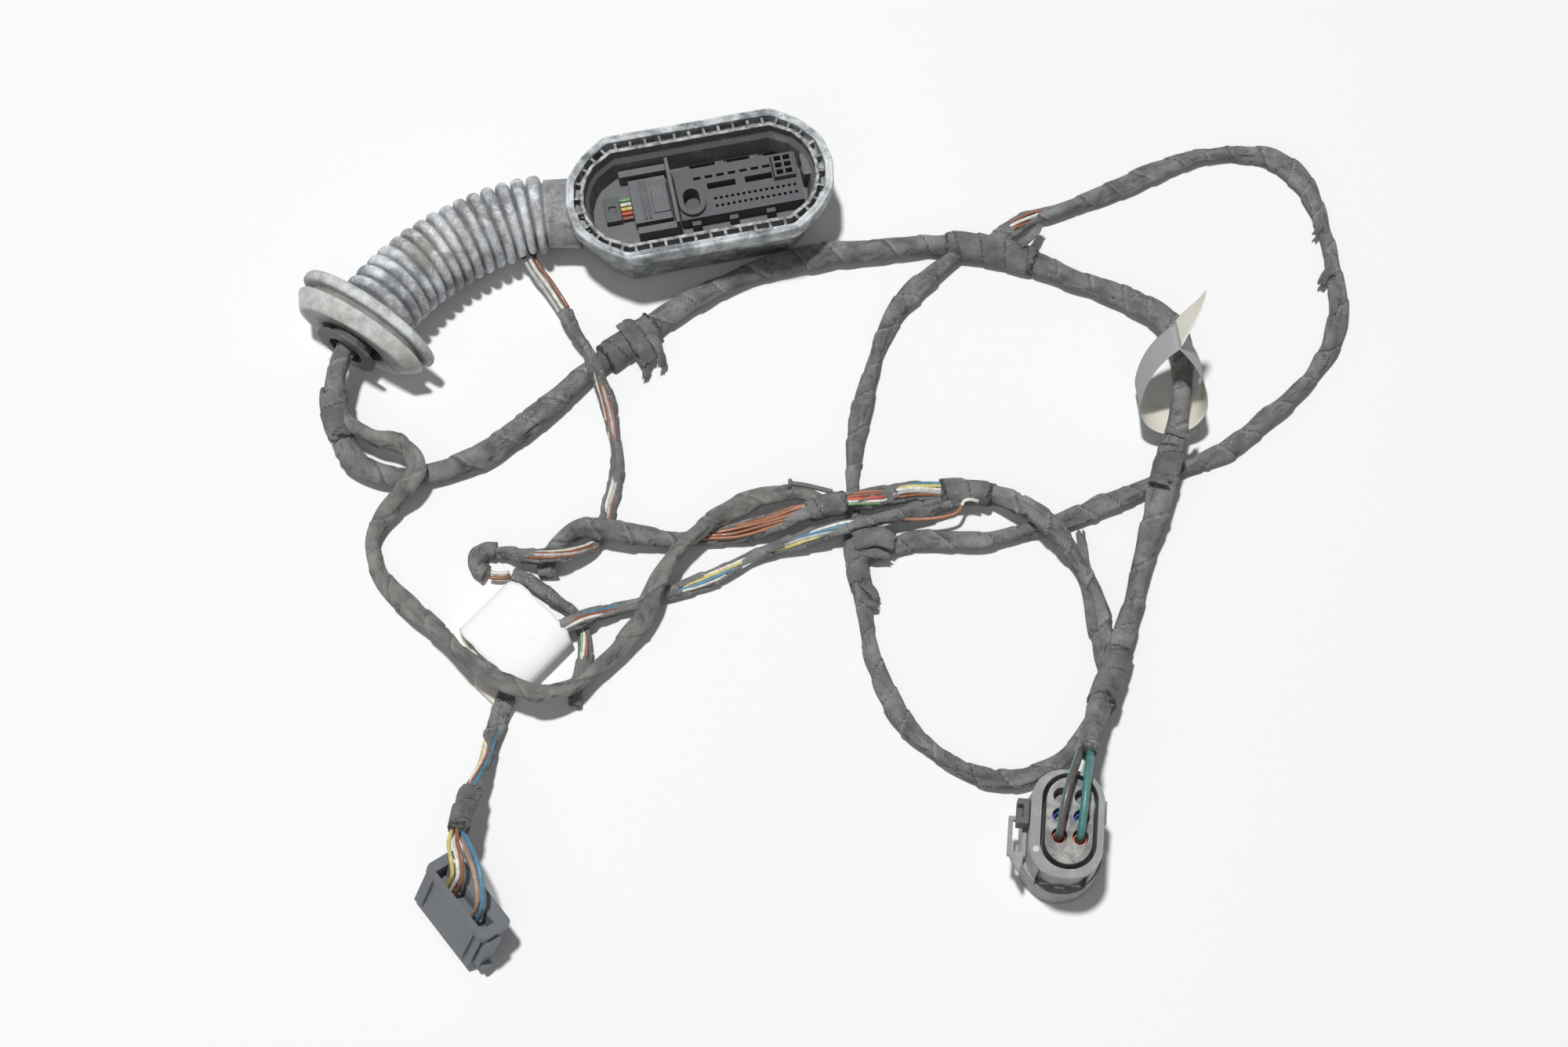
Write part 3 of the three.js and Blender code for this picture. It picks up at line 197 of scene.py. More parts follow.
def noiseAt(tree, vector, scale, detail=4.0, rough=0.6, distortion=0.0):
    node = tree.nodes.new("ShaderNodeTexNoise")
    node.inputs["Scale"].default_value = scale
    node.inputs["Detail"].default_value = detail
    node.inputs["Roughness"].default_value = rough
    node.inputs["Distortion"].default_value = distortion
    tree.links.new(vector, node.inputs["Vector"])
    return node.outputs["Fac"]


def attributeValue(tree, name):
    node = tree.nodes.new("ShaderNodeAttribute")
    node.attribute_name = name
    return node.outputs["Fac"]


def wrapCoordinates(tree):
    uv = tree.nodes.new("ShaderNodeUVMap")
    uv.uv_map = "wrap"
    parts = tree.nodes.new("ShaderNodeSeparateXYZ")
    tree.links.new(uv.outputs["UV"], parts.inputs[0])
    return parts


def objectPlace(tree):
    return tree.nodes.new("ShaderNodeTexCoord").outputs["Object"]


def mixed(tree, factor, a, b, mode="MIX"):
    node = tree.nodes.new("ShaderNodeMix")
    node.data_type = "RGBA"
    node.blend_type = mode
    for source, socket in zip((factor, a, b), (node.inputs["Factor"], node.inputs["A"], node.inputs["B"])):
        if isinstance(source, (int, float)):
            socket.default_value = source
        elif isinstance(source, tuple):
            socket.default_value = (*source, 1)
        else:
            tree.links.new(source, socket)
    return node.outputs["Result"]


def maths(tree, kind, a, b=0.0, clamp=False):
    node = tree.nodes.new("ShaderNodeMath")
    node.operation = kind
    node.use_clamp = clamp
    for source, socket in ((a, node.inputs[0]), (b, node.inputs[1])):
        if isinstance(source, (int, float)):
            socket.default_value = source
        else:
            tree.links.new(source, socket)
    return node.outputs["Value"]


def bumped(tree, shader, height, strength, distance):
    node = tree.nodes.new("ShaderNodeBump")
    node.inputs["Strength"].default_value = strength
    node.inputs["Distance"].default_value = distance
    tree.links.new(height, node.inputs["Height"])
    tree.links.new(node.outputs["Normal"], shader.inputs["Normal"])


# Cloth tape: a fine slanted rib, woven threads, pale specks, and painted shade on the overlaps.
# The UV map runs in rib widths along and round the tube.
tapeLook = {"dark": (0.06, 0.061, 0.063), "mid": (0.222, 0.225, 0.226), "pale": (0.47, 0.472, 0.468),
            "speck": (0.85, 0.85, 0.84), "rough": 0.84, "rib": 0.46, "across": 0.17, "specks": 0.6,
            "relief": 0.00035}
sheathLook = {**tapeLook, "dark": (0.15, 0.146, 0.138), "mid": (0.255, 0.25, 0.24), "pale": (0.37, 0.365, 0.35),
              "speck": (0.6, 0.59, 0.56), "rough": 0.62}


def tapeMaterial(name, tone=1.0, look=tapeLook):
    mat, tree, shader = newMaterial(name)
    shade = {k: tuple(tone * c for c in look[k]) for k in ("dark", "mid", "pale", "speck")}
    parts = wrapCoordinates(tree)
    place = objectPlace(tree)
    warp = maths(tree, "MULTIPLY", noiseAt(tree, place, 260.0, 2.0), 1.5)
    slant = maths(tree, "ADD", maths(tree, "ADD", parts.outputs["X"], parts.outputs["Y"]), warp)
    crossSlant = maths(tree, "SUBTRACT", parts.outputs["X"], parts.outputs["Y"])
    rib = maths(tree, "SINE", maths(tree, "MULTIPLY", slant, fullTurn))
    across = maths(tree, "SINE", maths(tree, "MULTIPLY", crossSlant, fullTurn))
    weave = maths(tree, "ADD", maths(tree, "MULTIPLY", rib, look["rib"]),
                  maths(tree, "MULTIPLY", across, look["across"]))
    fibre = noiseAt(tree, place, 3200.0, 3.0, 0.7)
    height = maths(tree, "ADD", maths(tree, "ADD", weave, 0.5), maths(tree, "MULTIPLY", fibre, 0.5))
    base = ramp(tree, maths(tree, "MULTIPLY", height, 0.66),
                [(0.1, shade["dark"]), (0.5, shade["mid"]), (0.92, shade["pale"])])
    patch = ramp(tree, noiseAt(tree, place, 95.0, 4.0), [(0.34, (0.66, 0.66, 0.67)), (0.66, (1.3, 1.3, 1.28))])
    base = mixed(tree, 1.0, base, patch, "MULTIPLY")
    specks = ramp(tree, noiseAt(tree, place, 820.0, 3.0, 0.62), [(0.62, black), (0.72, white)])
    dusty = ramp(tree, noiseAt(tree, place, 60.0, 4.0, 0.6), [(0.38, (0.2, 0.2, 0.2)), (0.62, white)])
    speckShare = maths(tree, "MULTIPLY", maths(tree, "MULTIPLY", specks, dusty), look["specks"])
    base = mixed(tree, speckShare, base, shade["speck"])
    # The fold attribute is above 0 where painted shade darkens a lap's line, a crease, a window opening or a wrap's
    # ragged end, and below 0 where a painted highlight, partly standing for frayed fibres, lightens the lap's edge
    fold = attributeValue(tree, "fold")
    lapLine = tuple(0.5 * c for c in shade["dark"])
    base = mixed(tree, maths(tree, "MULTIPLY", fold, 1.0, True), base, lapLine)
    base = mixed(tree, maths(tree, "MULTIPLY", fold, -1.0, True), base, shade["pale"])
    tree.links.new(base, shader.inputs["Base Color"])
    shader.inputs["Roughness"].default_value = look["rough"]
    shader.inputs["Specular IOR Level"].default_value = 0.3
    bumped(tree, shader, height, 0.75, look["relief"])
    return mat


# Moulded rubber with dust and pale deposits. The crest attribute is high on ridges and crests, which get more dust and
# a painted highlight, and the lip attribute marks the grommet, which has paler flecks.
def rubberMaterial(name, color, dust, dustShare=0.5, scale=60.0, rough=0.68, warm=None, lip=None):
    mat, tree, shader = newMaterial(name)
    place = objectPlace(tree)
    if warm:
        warmth = ramp(tree, noiseAt(tree, place, 22.0, 3.0), [(0.42, black), (0.62, white)])
        color = mixed(tree, warmth, color, warm)
    broad = noiseAt(tree, place, scale, 6.0, 0.62, 0.6)
    fine = noiseAt(tree, place, 900.0, 5.0, 0.7)
    both = maths(tree, "ADD", maths(tree, "MULTIPLY", broad, 0.75), maths(tree, "MULTIPLY", fine, 0.25))
    low = 0.62 - 0.3 * dustShare
    cover = ramp(tree, both, [(low, black), (low + 0.2, white)])
    crestValue = attributeValue(tree, "crest")
    # More dust on the crests, which also stands for a painted highlight there
    dustAndHighlight = maths(tree, "ADD", maths(tree, "MULTIPLY", crestValue, 0.75), 0.45)
    cover = maths(tree, "MULTIPLY", cover, dustAndHighlight, True)
    base = mixed(tree, cover, color, dust)
    if lip:
        pale = attributeValue(tree, "lip")
        flecks = ramp(tree, noiseAt(tree, place, 130.0, 6.0, 0.7, 0.8),
                      [(0.34, (0.25, 0.25, 0.25)), (0.56, white)])
        base = mixed(tree, maths(tree, "MULTIPLY", flecks, pale), base, lip)
    deposit = ramp(tree, noiseAt(tree, place, 330.0, 6.0, 0.72, 1.2), [(0.6, black), (0.68, white)])
    salt = tuple(min(0.75, 1.5 * c) for c in dust)
    base = mixed(tree, maths(tree, "MULTIPLY", deposit, 0.55 * dustShare), base, salt)
    # With warm, painted shade darkens the grooves and a painted highlight lightens the crests
    if warm:
        shadeAndHighlight = ramp(tree, crestValue,
                      [(0.0, (0.42, 0.42, 0.43)), (0.3, (0.75, 0.75, 0.75)), (0.85, (1.16, 1.16, 1.16))])
        base = mixed(tree, 1.0, base, shadeAndHighlight, "MULTIPLY")
    grime = ramp(tree, noiseAt(tree, place, 210.0, 5.0, 0.7),
                 [(0.3, (0.7, 0.71, 0.73)), (0.7, (1.2, 1.2, 1.19))])
    base = mixed(tree, 1.0, base, grime, "MULTIPLY")
    tree.links.new(base, shader.inputs["Base Color"])
    shader.inputs["Roughness"].default_value = rough
    shader.inputs["Specular IOR Level"].default_value = 0.25
    bumped(tree, shader, both, 0.5, 0.0005)
    return mat


# Moulded plastic with a fine grain and dust. Above a given height, in metres, it turns pale in broken patches.
def plasticMaterial(name, color, dust, dustShare, rough, paleAbove=None):
    mat, tree, shader = newMaterial(name)
    place = objectPlace(tree)
    fine = noiseAt(tree, place, 2400.0, 3.0, 0.6)
    broad = noiseAt(tree, place, 130.0, 6.0, 0.7, 0.4)
    cover = ramp(tree, broad, [(0.66 - 0.4 * dustShare, black), (0.86 - 0.3 * dustShare, white)])
    specks = ramp(tree, noiseAt(tree, place, 1500.0, 2.0), [(0.68, black), (0.76, white)])
    dusty = maths(tree, "ADD", cover, maths(tree, "MULTIPLY", specks, 0.6), True)
    share = maths(tree, "MULTIPLY", dusty, dustShare * 2.0, True)
    base = mixed(tree, share, color, dust)
    if paleAbove:
        parts = tree.nodes.new("ShaderNodeSeparateXYZ")
        tree.links.new(place, parts.inputs[0])
        height = maths(tree, "MULTIPLY", parts.outputs["Z"], 10.0)
        high = ramp(tree, height, [(10 * paleAbove, black), (10 * paleAbove + 0.006, white)])
        palePatches = ramp(tree, noiseAt(tree, place, 260.0, 5.0, 0.7), [(0.42, black), (0.6, white)])
        base = mixed(tree, maths(tree, "MULTIPLY", high, palePatches), base, (0.6, 0.6, 0.58))
    tree.links.new(base, shader.inputs["Base Color"])
    shader.inputs["Specular IOR Level"].default_value = 0.22
    gloss = maths(tree, "ADD", maths(tree, "MULTIPLY", broad, 0.3), rough - 0.12, True)
    tree.links.new(gloss, shader.inputs["Roughness"])
    bumped(tree, shader, fine, 0.25, 0.00012)
    return mat


# Wire insulation with a soft sheen, a little grime and an optional stripe
def wireMaterial(name, color, stripe=None):
    mat, tree, shader = newMaterial(name)
    place = objectPlace(tree)
    grime = ramp(tree, noiseAt(tree, place, 420.0, 4.0, 0.65),
                 [(0.3, (0.62, 0.6, 0.56)), (0.62, (1.08, 1.08, 1.08))])
    base = color
    if stripe:
        around = maths(tree, "MULTIPLY", wrapCoordinates(tree).outputs["Y"], fullTurn / stripe["ribs"])
        turn = maths(tree, "MULTIPLY", maths(tree, "COSINE", around), 0.5)
        band = ramp(tree, maths(tree, "ADD", turn, 0.5), [(0.84, black), (0.88, white)])
        base = mixed(tree, band, color, stripe["color"])
    base = mixed(tree, 1.0, base, grime, "MULTIPLY")
    tree.links.new(base, shader.inputs["Base Color"])
    shader.inputs["Roughness"].default_value = 0.38
    shader.inputs["Coat Weight"].default_value = 0.15
    bumped(tree, shader, noiseAt(tree, place, 600.0, 3.0), 0.15, 0.0003)
    return mat


# Lines and tubes
# Points at even steps on a smooth curve through the given ones
def throughPoints(points, step):
    pts = [Vector(p) for p in points]
    pts = [2 * pts[0] - pts[1]] + pts + [2 * pts[-1] - pts[-2]]
    dense = []
    for i in range(1, len(pts) - 2):
        p0, p1, p2, p3 = pts[i - 1:i + 3]
        d0, d1, d2 = ((b - a).length ** 0.5 or 1e-6 for a, b in ((p0, p1), (p1, p2), (p2, p3)))
        t1 = ((p1 - p0) / d0 - (p2 - p0) / (d0 + d1) + (p2 - p1) / d1) * d1
        t2 = ((p2 - p1) / d1 - (p3 - p1) / (d1 + d2) + (p3 - p2) / d2) * d1
        for k in range(24):
            t = k / 24
            a = 2 * t ** 3 - 3 * t ** 2 + 1
            b = t ** 3 - 2 * t ** 2 + t
            c = -2 * t ** 3 + 3 * t ** 2
            d = t ** 3 - t ** 2
            dense.append(a * p1 + b * t1 + c * p2 + d * t2)
    dense.append(pts[-2])
    return evenSteps(dense, step)


def evenSteps(dense, step):
    lengths = [0.0]
    for a, b in zip(dense, dense[1:]):
        lengths.append(lengths[-1] + (b - a).length)
    count = max(2, round(lengths[-1] / step))
    out, j = [], 0
    for i in range(count + 1):
        want = lengths[-1] * i / count
        while j < len(lengths) - 2 and lengths[j + 1] < want:
            j += 1
        span = lengths[j + 1] - lengths[j] or 1e-9
        out.append(dense[j].lerp(dense[j + 1], (want - lengths[j]) / span))
    return out


def lineLength(path):
    return sum((b - a).length for a, b in zip(path, path[1:]))


def nearestIndex(path, x, y):
    return min(range(len(path)), key=lambda i: (path[i].x - x) ** 2 + (path[i].y - y) ** 2)


# A tangent, a side and a rise at every point. The side stays level.
def ringFrames(path):
    frames = []
    for i in range(len(path)):
        a = path[max(0, i - 1)]
        b = path[min(len(path) - 1, i + 1)]
        tangent = (b - a).normalized()
        side = tangent.cross(Vector((0, 0, 1)))
        side = side.normalized() if side.length > 0.15 else (frames[-1][1] if frames else Vector((1, 0, 0)))
        side = (side - tangent * side.dot(tangent)).normalized()
        frames.append((tangent, side, side.cross(tangent)))
    return frames


def meshObject(name, verts, faces, material, smooth=True, uvs=None, attributes=None):
    mesh = bpy.data.meshes.new(name)
    mesh.from_pydata([tuple(v) for v in verts], [], faces)
    mesh.validate()
    if uvs:
        layer = mesh.uv_layers.new(name="wrap")
        for poly in mesh.polygons:
            for corner, loop in enumerate(poly.loop_indices):
                layer.data[loop].uv = uvs[poly.index][corner]
    for key, values in (attributes or {}).items():
        attribute = mesh.attributes.new(key, "FLOAT", "POINT")
        attribute.data.foreach_set("value", values)
    if smooth:
        mesh.polygons.foreach_set("use_smooth", [True] * len(mesh.polygons))
    mesh.update()
    obj = bpy.data.objects.new(name, mesh)
    bpy.context.collection.objects.link(obj)
    for mat in material if isinstance(material, (list, tuple)) else [material]:
        mesh.materials.append(mat)
    return obj


# A closed tube on a path. radius(s, share) gives its radius and fold shade at a length and a share of the turn.
def tubeMesh(name, path, radius, sides, material, ribs=26, ribWidth=0.0009):
    frames = ringFrames(path)
    verts, folds, along = [], [], [0.0]
    for a, b in zip(path, path[1:]):
        along.append(along[-1] + (b - a).length)
    for i, (p, (_, side, rise)) in enumerate(zip(path, frames)):
        for j in range(sides):
            angle = fullTurn * j / sides
            r, fold = radius(along[i], j / sides)
            verts.append(p + side * (r * math.cos(angle)) + rise * (r * math.sin(angle)))
            folds.append(fold)
    faces, uvs = [], []
    for i in range(len(path) - 1):
        for j in range(sides):
            k = (j + 1) % sides
            faces.append((i * sides + j, (i + 1) * sides + j, (i + 1) * sides + k, i * sides + k))
            u0, u1 = along[i] / ribWidth, along[i + 1] / ribWidth
            v0, v1 = ribs * j / sides, ribs * (j + 1) / sides
            uvs.append(((u0, v0), (u1, v0), (u1, v1), (u0, v1)))
    last = (len(path) - 1) * sides
    faces += [tuple(range(sides)), tuple(last + j for j in reversed(range(sides)))]
    uvs += [tuple((0.3 * math.cos(j), 0.3 * math.sin(j)) for j in range(sides))] * 2
    return meshObject(name, verts, faces, material, uvs=uvs, attributes={"fold": folds})


# Tape wound on slantwise: each turn laps over the last one and leaves an edge
windingLook = {"lapLine": 0.06, "frayEnd": 0.12, "lapShade": 0.6, "frayShade": -0.45, "creaseShade": 0.35,
               "creaseWidth": 0.07, "creaseDepth": 1.5, "broadLumps": 1.5}


def wound(r, pitch, ridge, lumps, seed, sharp):
    look = windingLook

    def radius(s, share):
        sway = 0.4 * math.sin(s / 0.037 + seed) + 0.13 * math.sin(s / 0.0083 + 2 * seed)
        turn = (s / pitch + share + sway) % 1.0
        lap = ridge * (1.0 - turn) if turn > sharp else ridge * turn / sharp
        x, y = math.cos(fullTurn * share), math.sin(fullTurn * share)
        bump = noise.noise(Vector((s * 95 + seed, 1.6 * x, 1.6 * y)))
        broad = noise.noise(Vector((s * 34 + seed, 0.8 * x + seed, 0.8 * y)))
        crease = abs(noise.noise(Vector((s * 48 + 3 * seed, 1.3 * x, 1.3 * y + seed))))
        dent = max(0.0, 1 - crease / look["creaseWidth"]) * lumps * look["creaseDepth"]
        # Painted shade darkens the lap's line and the creases; the band after the line gets a painted highlight, partly
        # standing for frayed fibres
        if turn < look["lapLine"]:
            fold = look["lapShade"]
        elif turn < look["frayEnd"]:
            fold = look["frayShade"]
        else:
            fold = look["creaseShade"] * min(1.0, dent / lumps)
        return r - 0.6 * ridge + lap + lumps * bump + look["broadLumps"] * lumps * broad - dent, fold
    return radius


def ridden(obj, slot, *stands):
    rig.ride(obj, "root")
    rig.slot(obj, slot)
    if stands:
        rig.replaces(obj, *stands)
    return obj


def liftedOffFloor(obj):
    for v in obj.data.vertices:
        v.co.z = max(v.co.z, floorGap)
    return obj


# Routes in millimetres, the same points as in the part's source
routes = {
    "trunk": [(-149.7, 80.8, 22.9), (-152.8, 73, 22), (-155, 63, 20), (-155, 53, 16.5), (-152, 43, 13),
              (-148, 35, 9.5), (-140, 29, 6.5), (-127, 26, 5.2), (-112, 28, 5.2), (-94, 34, 5.2),
              (-77, 46, 5.2), (-62, 60, 5.2), (-48, 74, 5.2), (-34, 86, 5.2), (-18, 98, 5.2), (0, 112, 5.2),
              (19, 122, 5.2), (39, 130, 5.2), (62, 135, 5.2), (86, 138, 5.2), (111, 140, 5.2),
              (134, 138, 5.2), (157, 131, 5.2), (175, 123, 5.5), (191, 116, 6), (204, 109, 7.5),
              (215, 100, 9.5), (220, 88, 12), (220, 74, 15), (218, 59, 17), (215, 44, 17.6), (211, 29, 16),
              (207, 14, 14), (203, 0, 11), (199, -15, 7.5), (195, -30, 5.8), (190, -45, 6.8),
              (185, -61, 9.4), (179, -77, 15.5), (173, -92, 25.5), (168.6, -103.5, 35.5), (166.6, -109, 40)],
    "smooth": [(-152, 50, 15.5), (-144, 45, 14.2), (-136, 41, 13.5), (-128, 39, 13.6), (-121, 34, 14.3),
               (-118, 27, 14.7), (-121, 19, 13.6), (-128, 12, 9.5), (-134, 4, 5.5), (-137, -5, 4),
               (-135, -15, 4), (-128, -26, 4.2), (-116, -37, 7), (-105, -48, 12.5), (-95, -59, 17.5),
               (-85, -67, 19.5), (-73, -74, 19.5), (-60, -77, 17.5), (-47, -73, 13), (-37, -64, 9),
               (-27, -54, 7.5), (-18, -42, 9.8), (-12, -27, 12), (-4, -13, 13.2), (8, -1, 13),
               (23, 10, 10.5), (39, 16, 10), (51, 16, 11.2), (61, 11, 12.3)],
    "middle": [(184, -66, 9), (181, -57, 6), (180, -44, 4.6), (177, -28, 4.6), (170, -13, 6.5),
               (160, -1, 12.2), (153, 5, 13.4), (143, 12, 11), (131, 17, 8.2), (117, 18, 8.6),
               (101, 17, 10.2), (88, 14, 12.2), (74, 12, 12.8), (64, 10, 12.6), (50, 7, 10.5), (34, 2, 7),
               (19, -1, 4.8), (-1, -3, 4.4), (-16, -3, 6.5), (-27, -2, 10.4), (-35, -1, 11.6),
               (-43, 0, 10.4), (-51, -2, 7.2), (-57, -7, 4.8), (-60, -14, 4.4), (-60, -20, 4.4)],
    "plug": [(127, 16, 8.2), (117, 14, 8.2), (108, 11, 8.6), (100, 8, 9.8), (91, 5, 11), (76, 2, 11.5),
             (63, -1, 10.2), (45, -6, 6), (30, -11, 3.8), (15, -19, 3.4), (-1, -26, 3.4), (-15, -31, 3.4),
             (-31, -36, 4.5), (-40, -40, 8), (-47, -44, 10.6), (-56, -49, 8.5), (-65, -57, 6.4),
             (-73, -68, 5.2), (-78, -81, 4.4), (-81, -93, 5.4), (-83, -107, 10.5), (-87, -120, 18.5),
             (-89.4, -132, 26), (-90.6, -140.5, 30.6)],
    "boot": [(-56, 106, 5.5), (-52, 97, 8.5), (-47, 88, 12), (-43, 79, 14), (-40, 71, 12), (-36, 62, 7),
             (-33, 50, 3.6), (-31, 37, 3.2), (-32, 22, 3.2), (-34, 13, 3.2), (-35, 4, 3.2), (-39, -5, 3.8),
             (-47, -11, 9.4), (-57, -14, 12.8), (-69, -13, 9.6), (-77, -10, 5.8), (-83, -9, 4.2)],
    "tail": [(-75, -19, 3.2), (-69, -21, 3.2), (-63, -25, 3.2), (-56, -31, 3.2), (-48.6, -37, 3.2),
             (-44, -46, 3.2), (-43, -55, 3.2), (-44, -64, 3.2), (-46, -72, 3.2), (-46, -79, 3.2)],
    "cross": [(126, 138, 5.2), (117, 132, 4.6), (109, 125, 4), (100, 116, 4), (92, 104, 4), (86, 90, 4),
              (81, 73, 4), (77, 56, 4), (74, 39, 4), (73, 22, 4), (74, 9, 4), (74, -6, 4), (76, -22, 4),
              (78, -38, 4), (81, -56, 4), (87, -72, 4), (96, -88, 4), (108, -100, 4), (121, -108, 4),
              (136, -112, 4), (151, -108, 4), (162, -101, 4.5), (170, -92, 6), (176, -83, 9.5),
              (180, -76, 13)],
    "rear": [(136, 138, 5.2), (144, 146, 4.8), (154, 153, 4.2), (167, 158, 4), (184, 164, 4), (201, 172, 4),
             (219, 181, 4), (237, 187, 4), (256, 188, 4), (270, 185, 4), (280, 177, 4), (287, 163, 4),
             (291, 145, 4), (293, 126, 4), (294, 108, 4), (290, 92, 4), (281, 77, 4), (269, 65, 4),
             (254, 52, 4), (239, 40, 4), (224, 32, 4), (209, 25, 4), (194, 18, 4), (178, 11, 4),
             (162, 4, 4), (145, 0, 4), (129, -3, 4), (113, -3, 4), (98, -4, 4), (86, -8, 4), (75.5, -12, 4)],
    "fold": [(-82.6, -9.1, 4.2), (-87, -8.6, 4.2), (-90.6, -11.6, 4.2), (-90, -16.4, 4.2),
             (-86.4, -18.6, 4.2)],
    "bare": [(-72, 129.4, 12), (-69, 124.5, 10.5), (-64.5, 119, 8.4), (-60.2, 112.8, 6.6),
             (-56.4, 106.9, 5.6)],
    "foldWire": [(-84.9, -19.4, 4.2), (-82, -20, 4.1), (-79, -19.8, 3.6), (-76.4, -19, 3.2)],
    "bellows": [(-41, 149, 18.6), (-50, 149.2, 18.6), (-60, 149.2, 18.6), (-72, 147.6, 18.6),
                (-86, 143, 18.6), (-100, 136, 18.8), (-112, 128, 19.2), (-123, 118, 20.2),
                (-132, 107.5, 21.6), (-139.4, 97, 22.7), (-145.4, 88, 22.9), (-150.8, 79, 22.9)],
}
wireRoutes = {
    "power_wire_1": [(164.5, -108.6, 40.3), (162.2, -115.6, 45.4), (158.6, -125, 48.6), (155.8, -136, 47.6),
                     (154.6, -143.8, 43.2), (154.5, -144.7, 39), (154.5, -144.7, 34)],
    "power_wire_2": [(168.5, -110, 40.3), (167, -117.4, 45.6), (165.2, -128, 48.8), (163.8, -138, 47.6),
                     (163.1, -144, 43.4), (163.1, -145.5, 38.6), (163.1, -145.5, 34)],
    "plug_wire_1": [(-92.7, -140.3, 31.4), (-93.5, -146.6, 34), (-92, -153.5, 35), (-91.6, -158, 32.2),
                    (-93, -160, 27), (-95.1, -161.6, 20.9)],
    "plug_wire_2": [(-92, -141.5, 29.2), (-91.4, -147, 31.6), (-89.7, -154, 34.2), (-89.4, -159.6, 32.2),
                    (-91.1, -161.6, 27.7), (-93.5, -163.6, 20.9)],
    "plug_wire_3": [(-90.5, -139.9, 32.7), (-89.7, -146.2, 36.2), (-87.4, -154, 37.6), (-87.4, -161, 33.4),
                    (-89.5, -163.5, 27.7), (-92, -165.5, 20.9)],
    "plug_wire_4": [(-89.5, -141.9, 29.2), (-86.8, -148, 32.4), (-82.6, -158, 36), (-80.6, -168, 34),
                    (-82.2, -172.5, 27.7), (-84.7, -174.5, 20.9)],
    "plug_wire_5": [(-88.5, -140.9, 31.4), (-85, -147, 35.4), (-80.4, -157, 39.2), (-78.4, -169, 37),
                    (-80.4, -174.7, 28.2), (-82.9, -176.7, 20.9)],
}


def inMetres(points):
    return [Vector(p) * mm for p in points]


# Finishes
brownWire = (0.27, 0.105, 0.055)
orangeWire = (0.37, 0.15, 0.075)
blueWire = (0.075, 0.25, 0.4)
whiteWire = (0.8, 0.79, 0.72)
yellowWire = (0.66, 0.57, 0.19)
redWire = (0.58, 0.1, 0.06)
greenWire = (0.2, 0.38, 0.17)
greyWire = (0.5, 0.49, 0.49)
tape = tapeMaterial("cloth_tape")
wrapTape = tapeMaterial("wound_tape", 0.85)
sheath = tapeMaterial("smooth_sheath", 1.0, sheathLook)
bootRubber = rubberMaterial("boot_rubber", (0.235, 0.249, 0.272), (0.7, 0.72, 0.745), 0.66, 75.0, 0.75,
                            (0.31, 0.285, 0.255), (0.5, 0.495, 0.47))
rimRubber = rubberMaterial("rim_rubber", (0.215, 0.226, 0.236), (0.74, 0.755, 0.765), 0.72, 110.0, 0.6)
darkPlastic = plasticMaterial("dark_plastic", (0.108, 0.112, 0.118), (0.38, 0.38, 0.38), 0.2, 0.5)
tubPlastic = plasticMaterial("tub_plastic", (0.15, 0.155, 0.162), (0.42, 0.42, 0.42), 0.3, 0.5, 0.0379)
midPlastic = plasticMaterial("mid_plastic", (0.145, 0.15, 0.157), (0.4, 0.4, 0.4), 0.22, 0.48)
sealPlastic = plasticMaterial("seal_plastic", (0.285, 0.29, 0.293), (0.5, 0.495, 0.485), 0.42, 0.52)
insertPlastic = plasticMaterial("insert_plastic", (0.19, 0.188, 0.183), (0.48, 0.47, 0.45), 0.6, 0.6)
cleanPlastic = plasticMaterial("clean_plastic", (0.168, 0.177, 0.193), (0.36, 0.36, 0.36), 0.12, 0.42)
blueRubber = rubberMaterial("blue_seal", (0.07, 0.16, 0.62), (0.3, 0.38, 0.7), 0.2, 300.0, 0.45)
redRubber = rubberMaterial("red_seal", (0.68, 0.15, 0.08), (0.7, 0.35, 0.28), 0.2, 300.0, 0.45)
wires = {"brown": wireMaterial("brown_wire", brownWire), "orange": wireMaterial("orange_wire", orangeWire),
         "blue": wireMaterial("blue_wire", blueWire), "white": wireMaterial("white_wire", whiteWire),
         "yellow": wireMaterial("yellow_wire", yellowWire), "red": wireMaterial("red_wire", redWire),
         "green": wireMaterial("green_wire", greenWire), "grey": wireMaterial("grey_wire", greyWire),
         "pale": wireMaterial("pale_wire", (0.42, 0.26, 0.17), {"ribs": 12.0, "color": whiteWire}),
         "dark": wireMaterial("dark_wire", (0.085, 0.075, 0.07), {"ribs": 12.0, "color": (0.06, 0.26, 0.24)}),
         "teal": wireMaterial("teal_wire", (0.06, 0.22, 0.205))}
wireSlots = {"brown": "brown_wire", "orange": "brown_wire", "blue": "blue_wire", "white": "white_wire",
             "yellow": "yellow_wire", "red": "red_wire", "green": "green_wire", "grey": "white_wire",
             "pale": "pale_wire", "dark": "dark_wire", "teal": "teal_wire"}
print("finishes made")


# A wire along its points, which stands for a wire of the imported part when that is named
def wireTube(name, points, diameter, color, *stands):
    path = throughPoints(points, 0.0011)
    obj = tubeMesh(name, path, lambda s, share: (diameter / 2, 0.0), 12, wires[color], ribs=12)
    return ridden(obj, wireSlots[color], *stands)


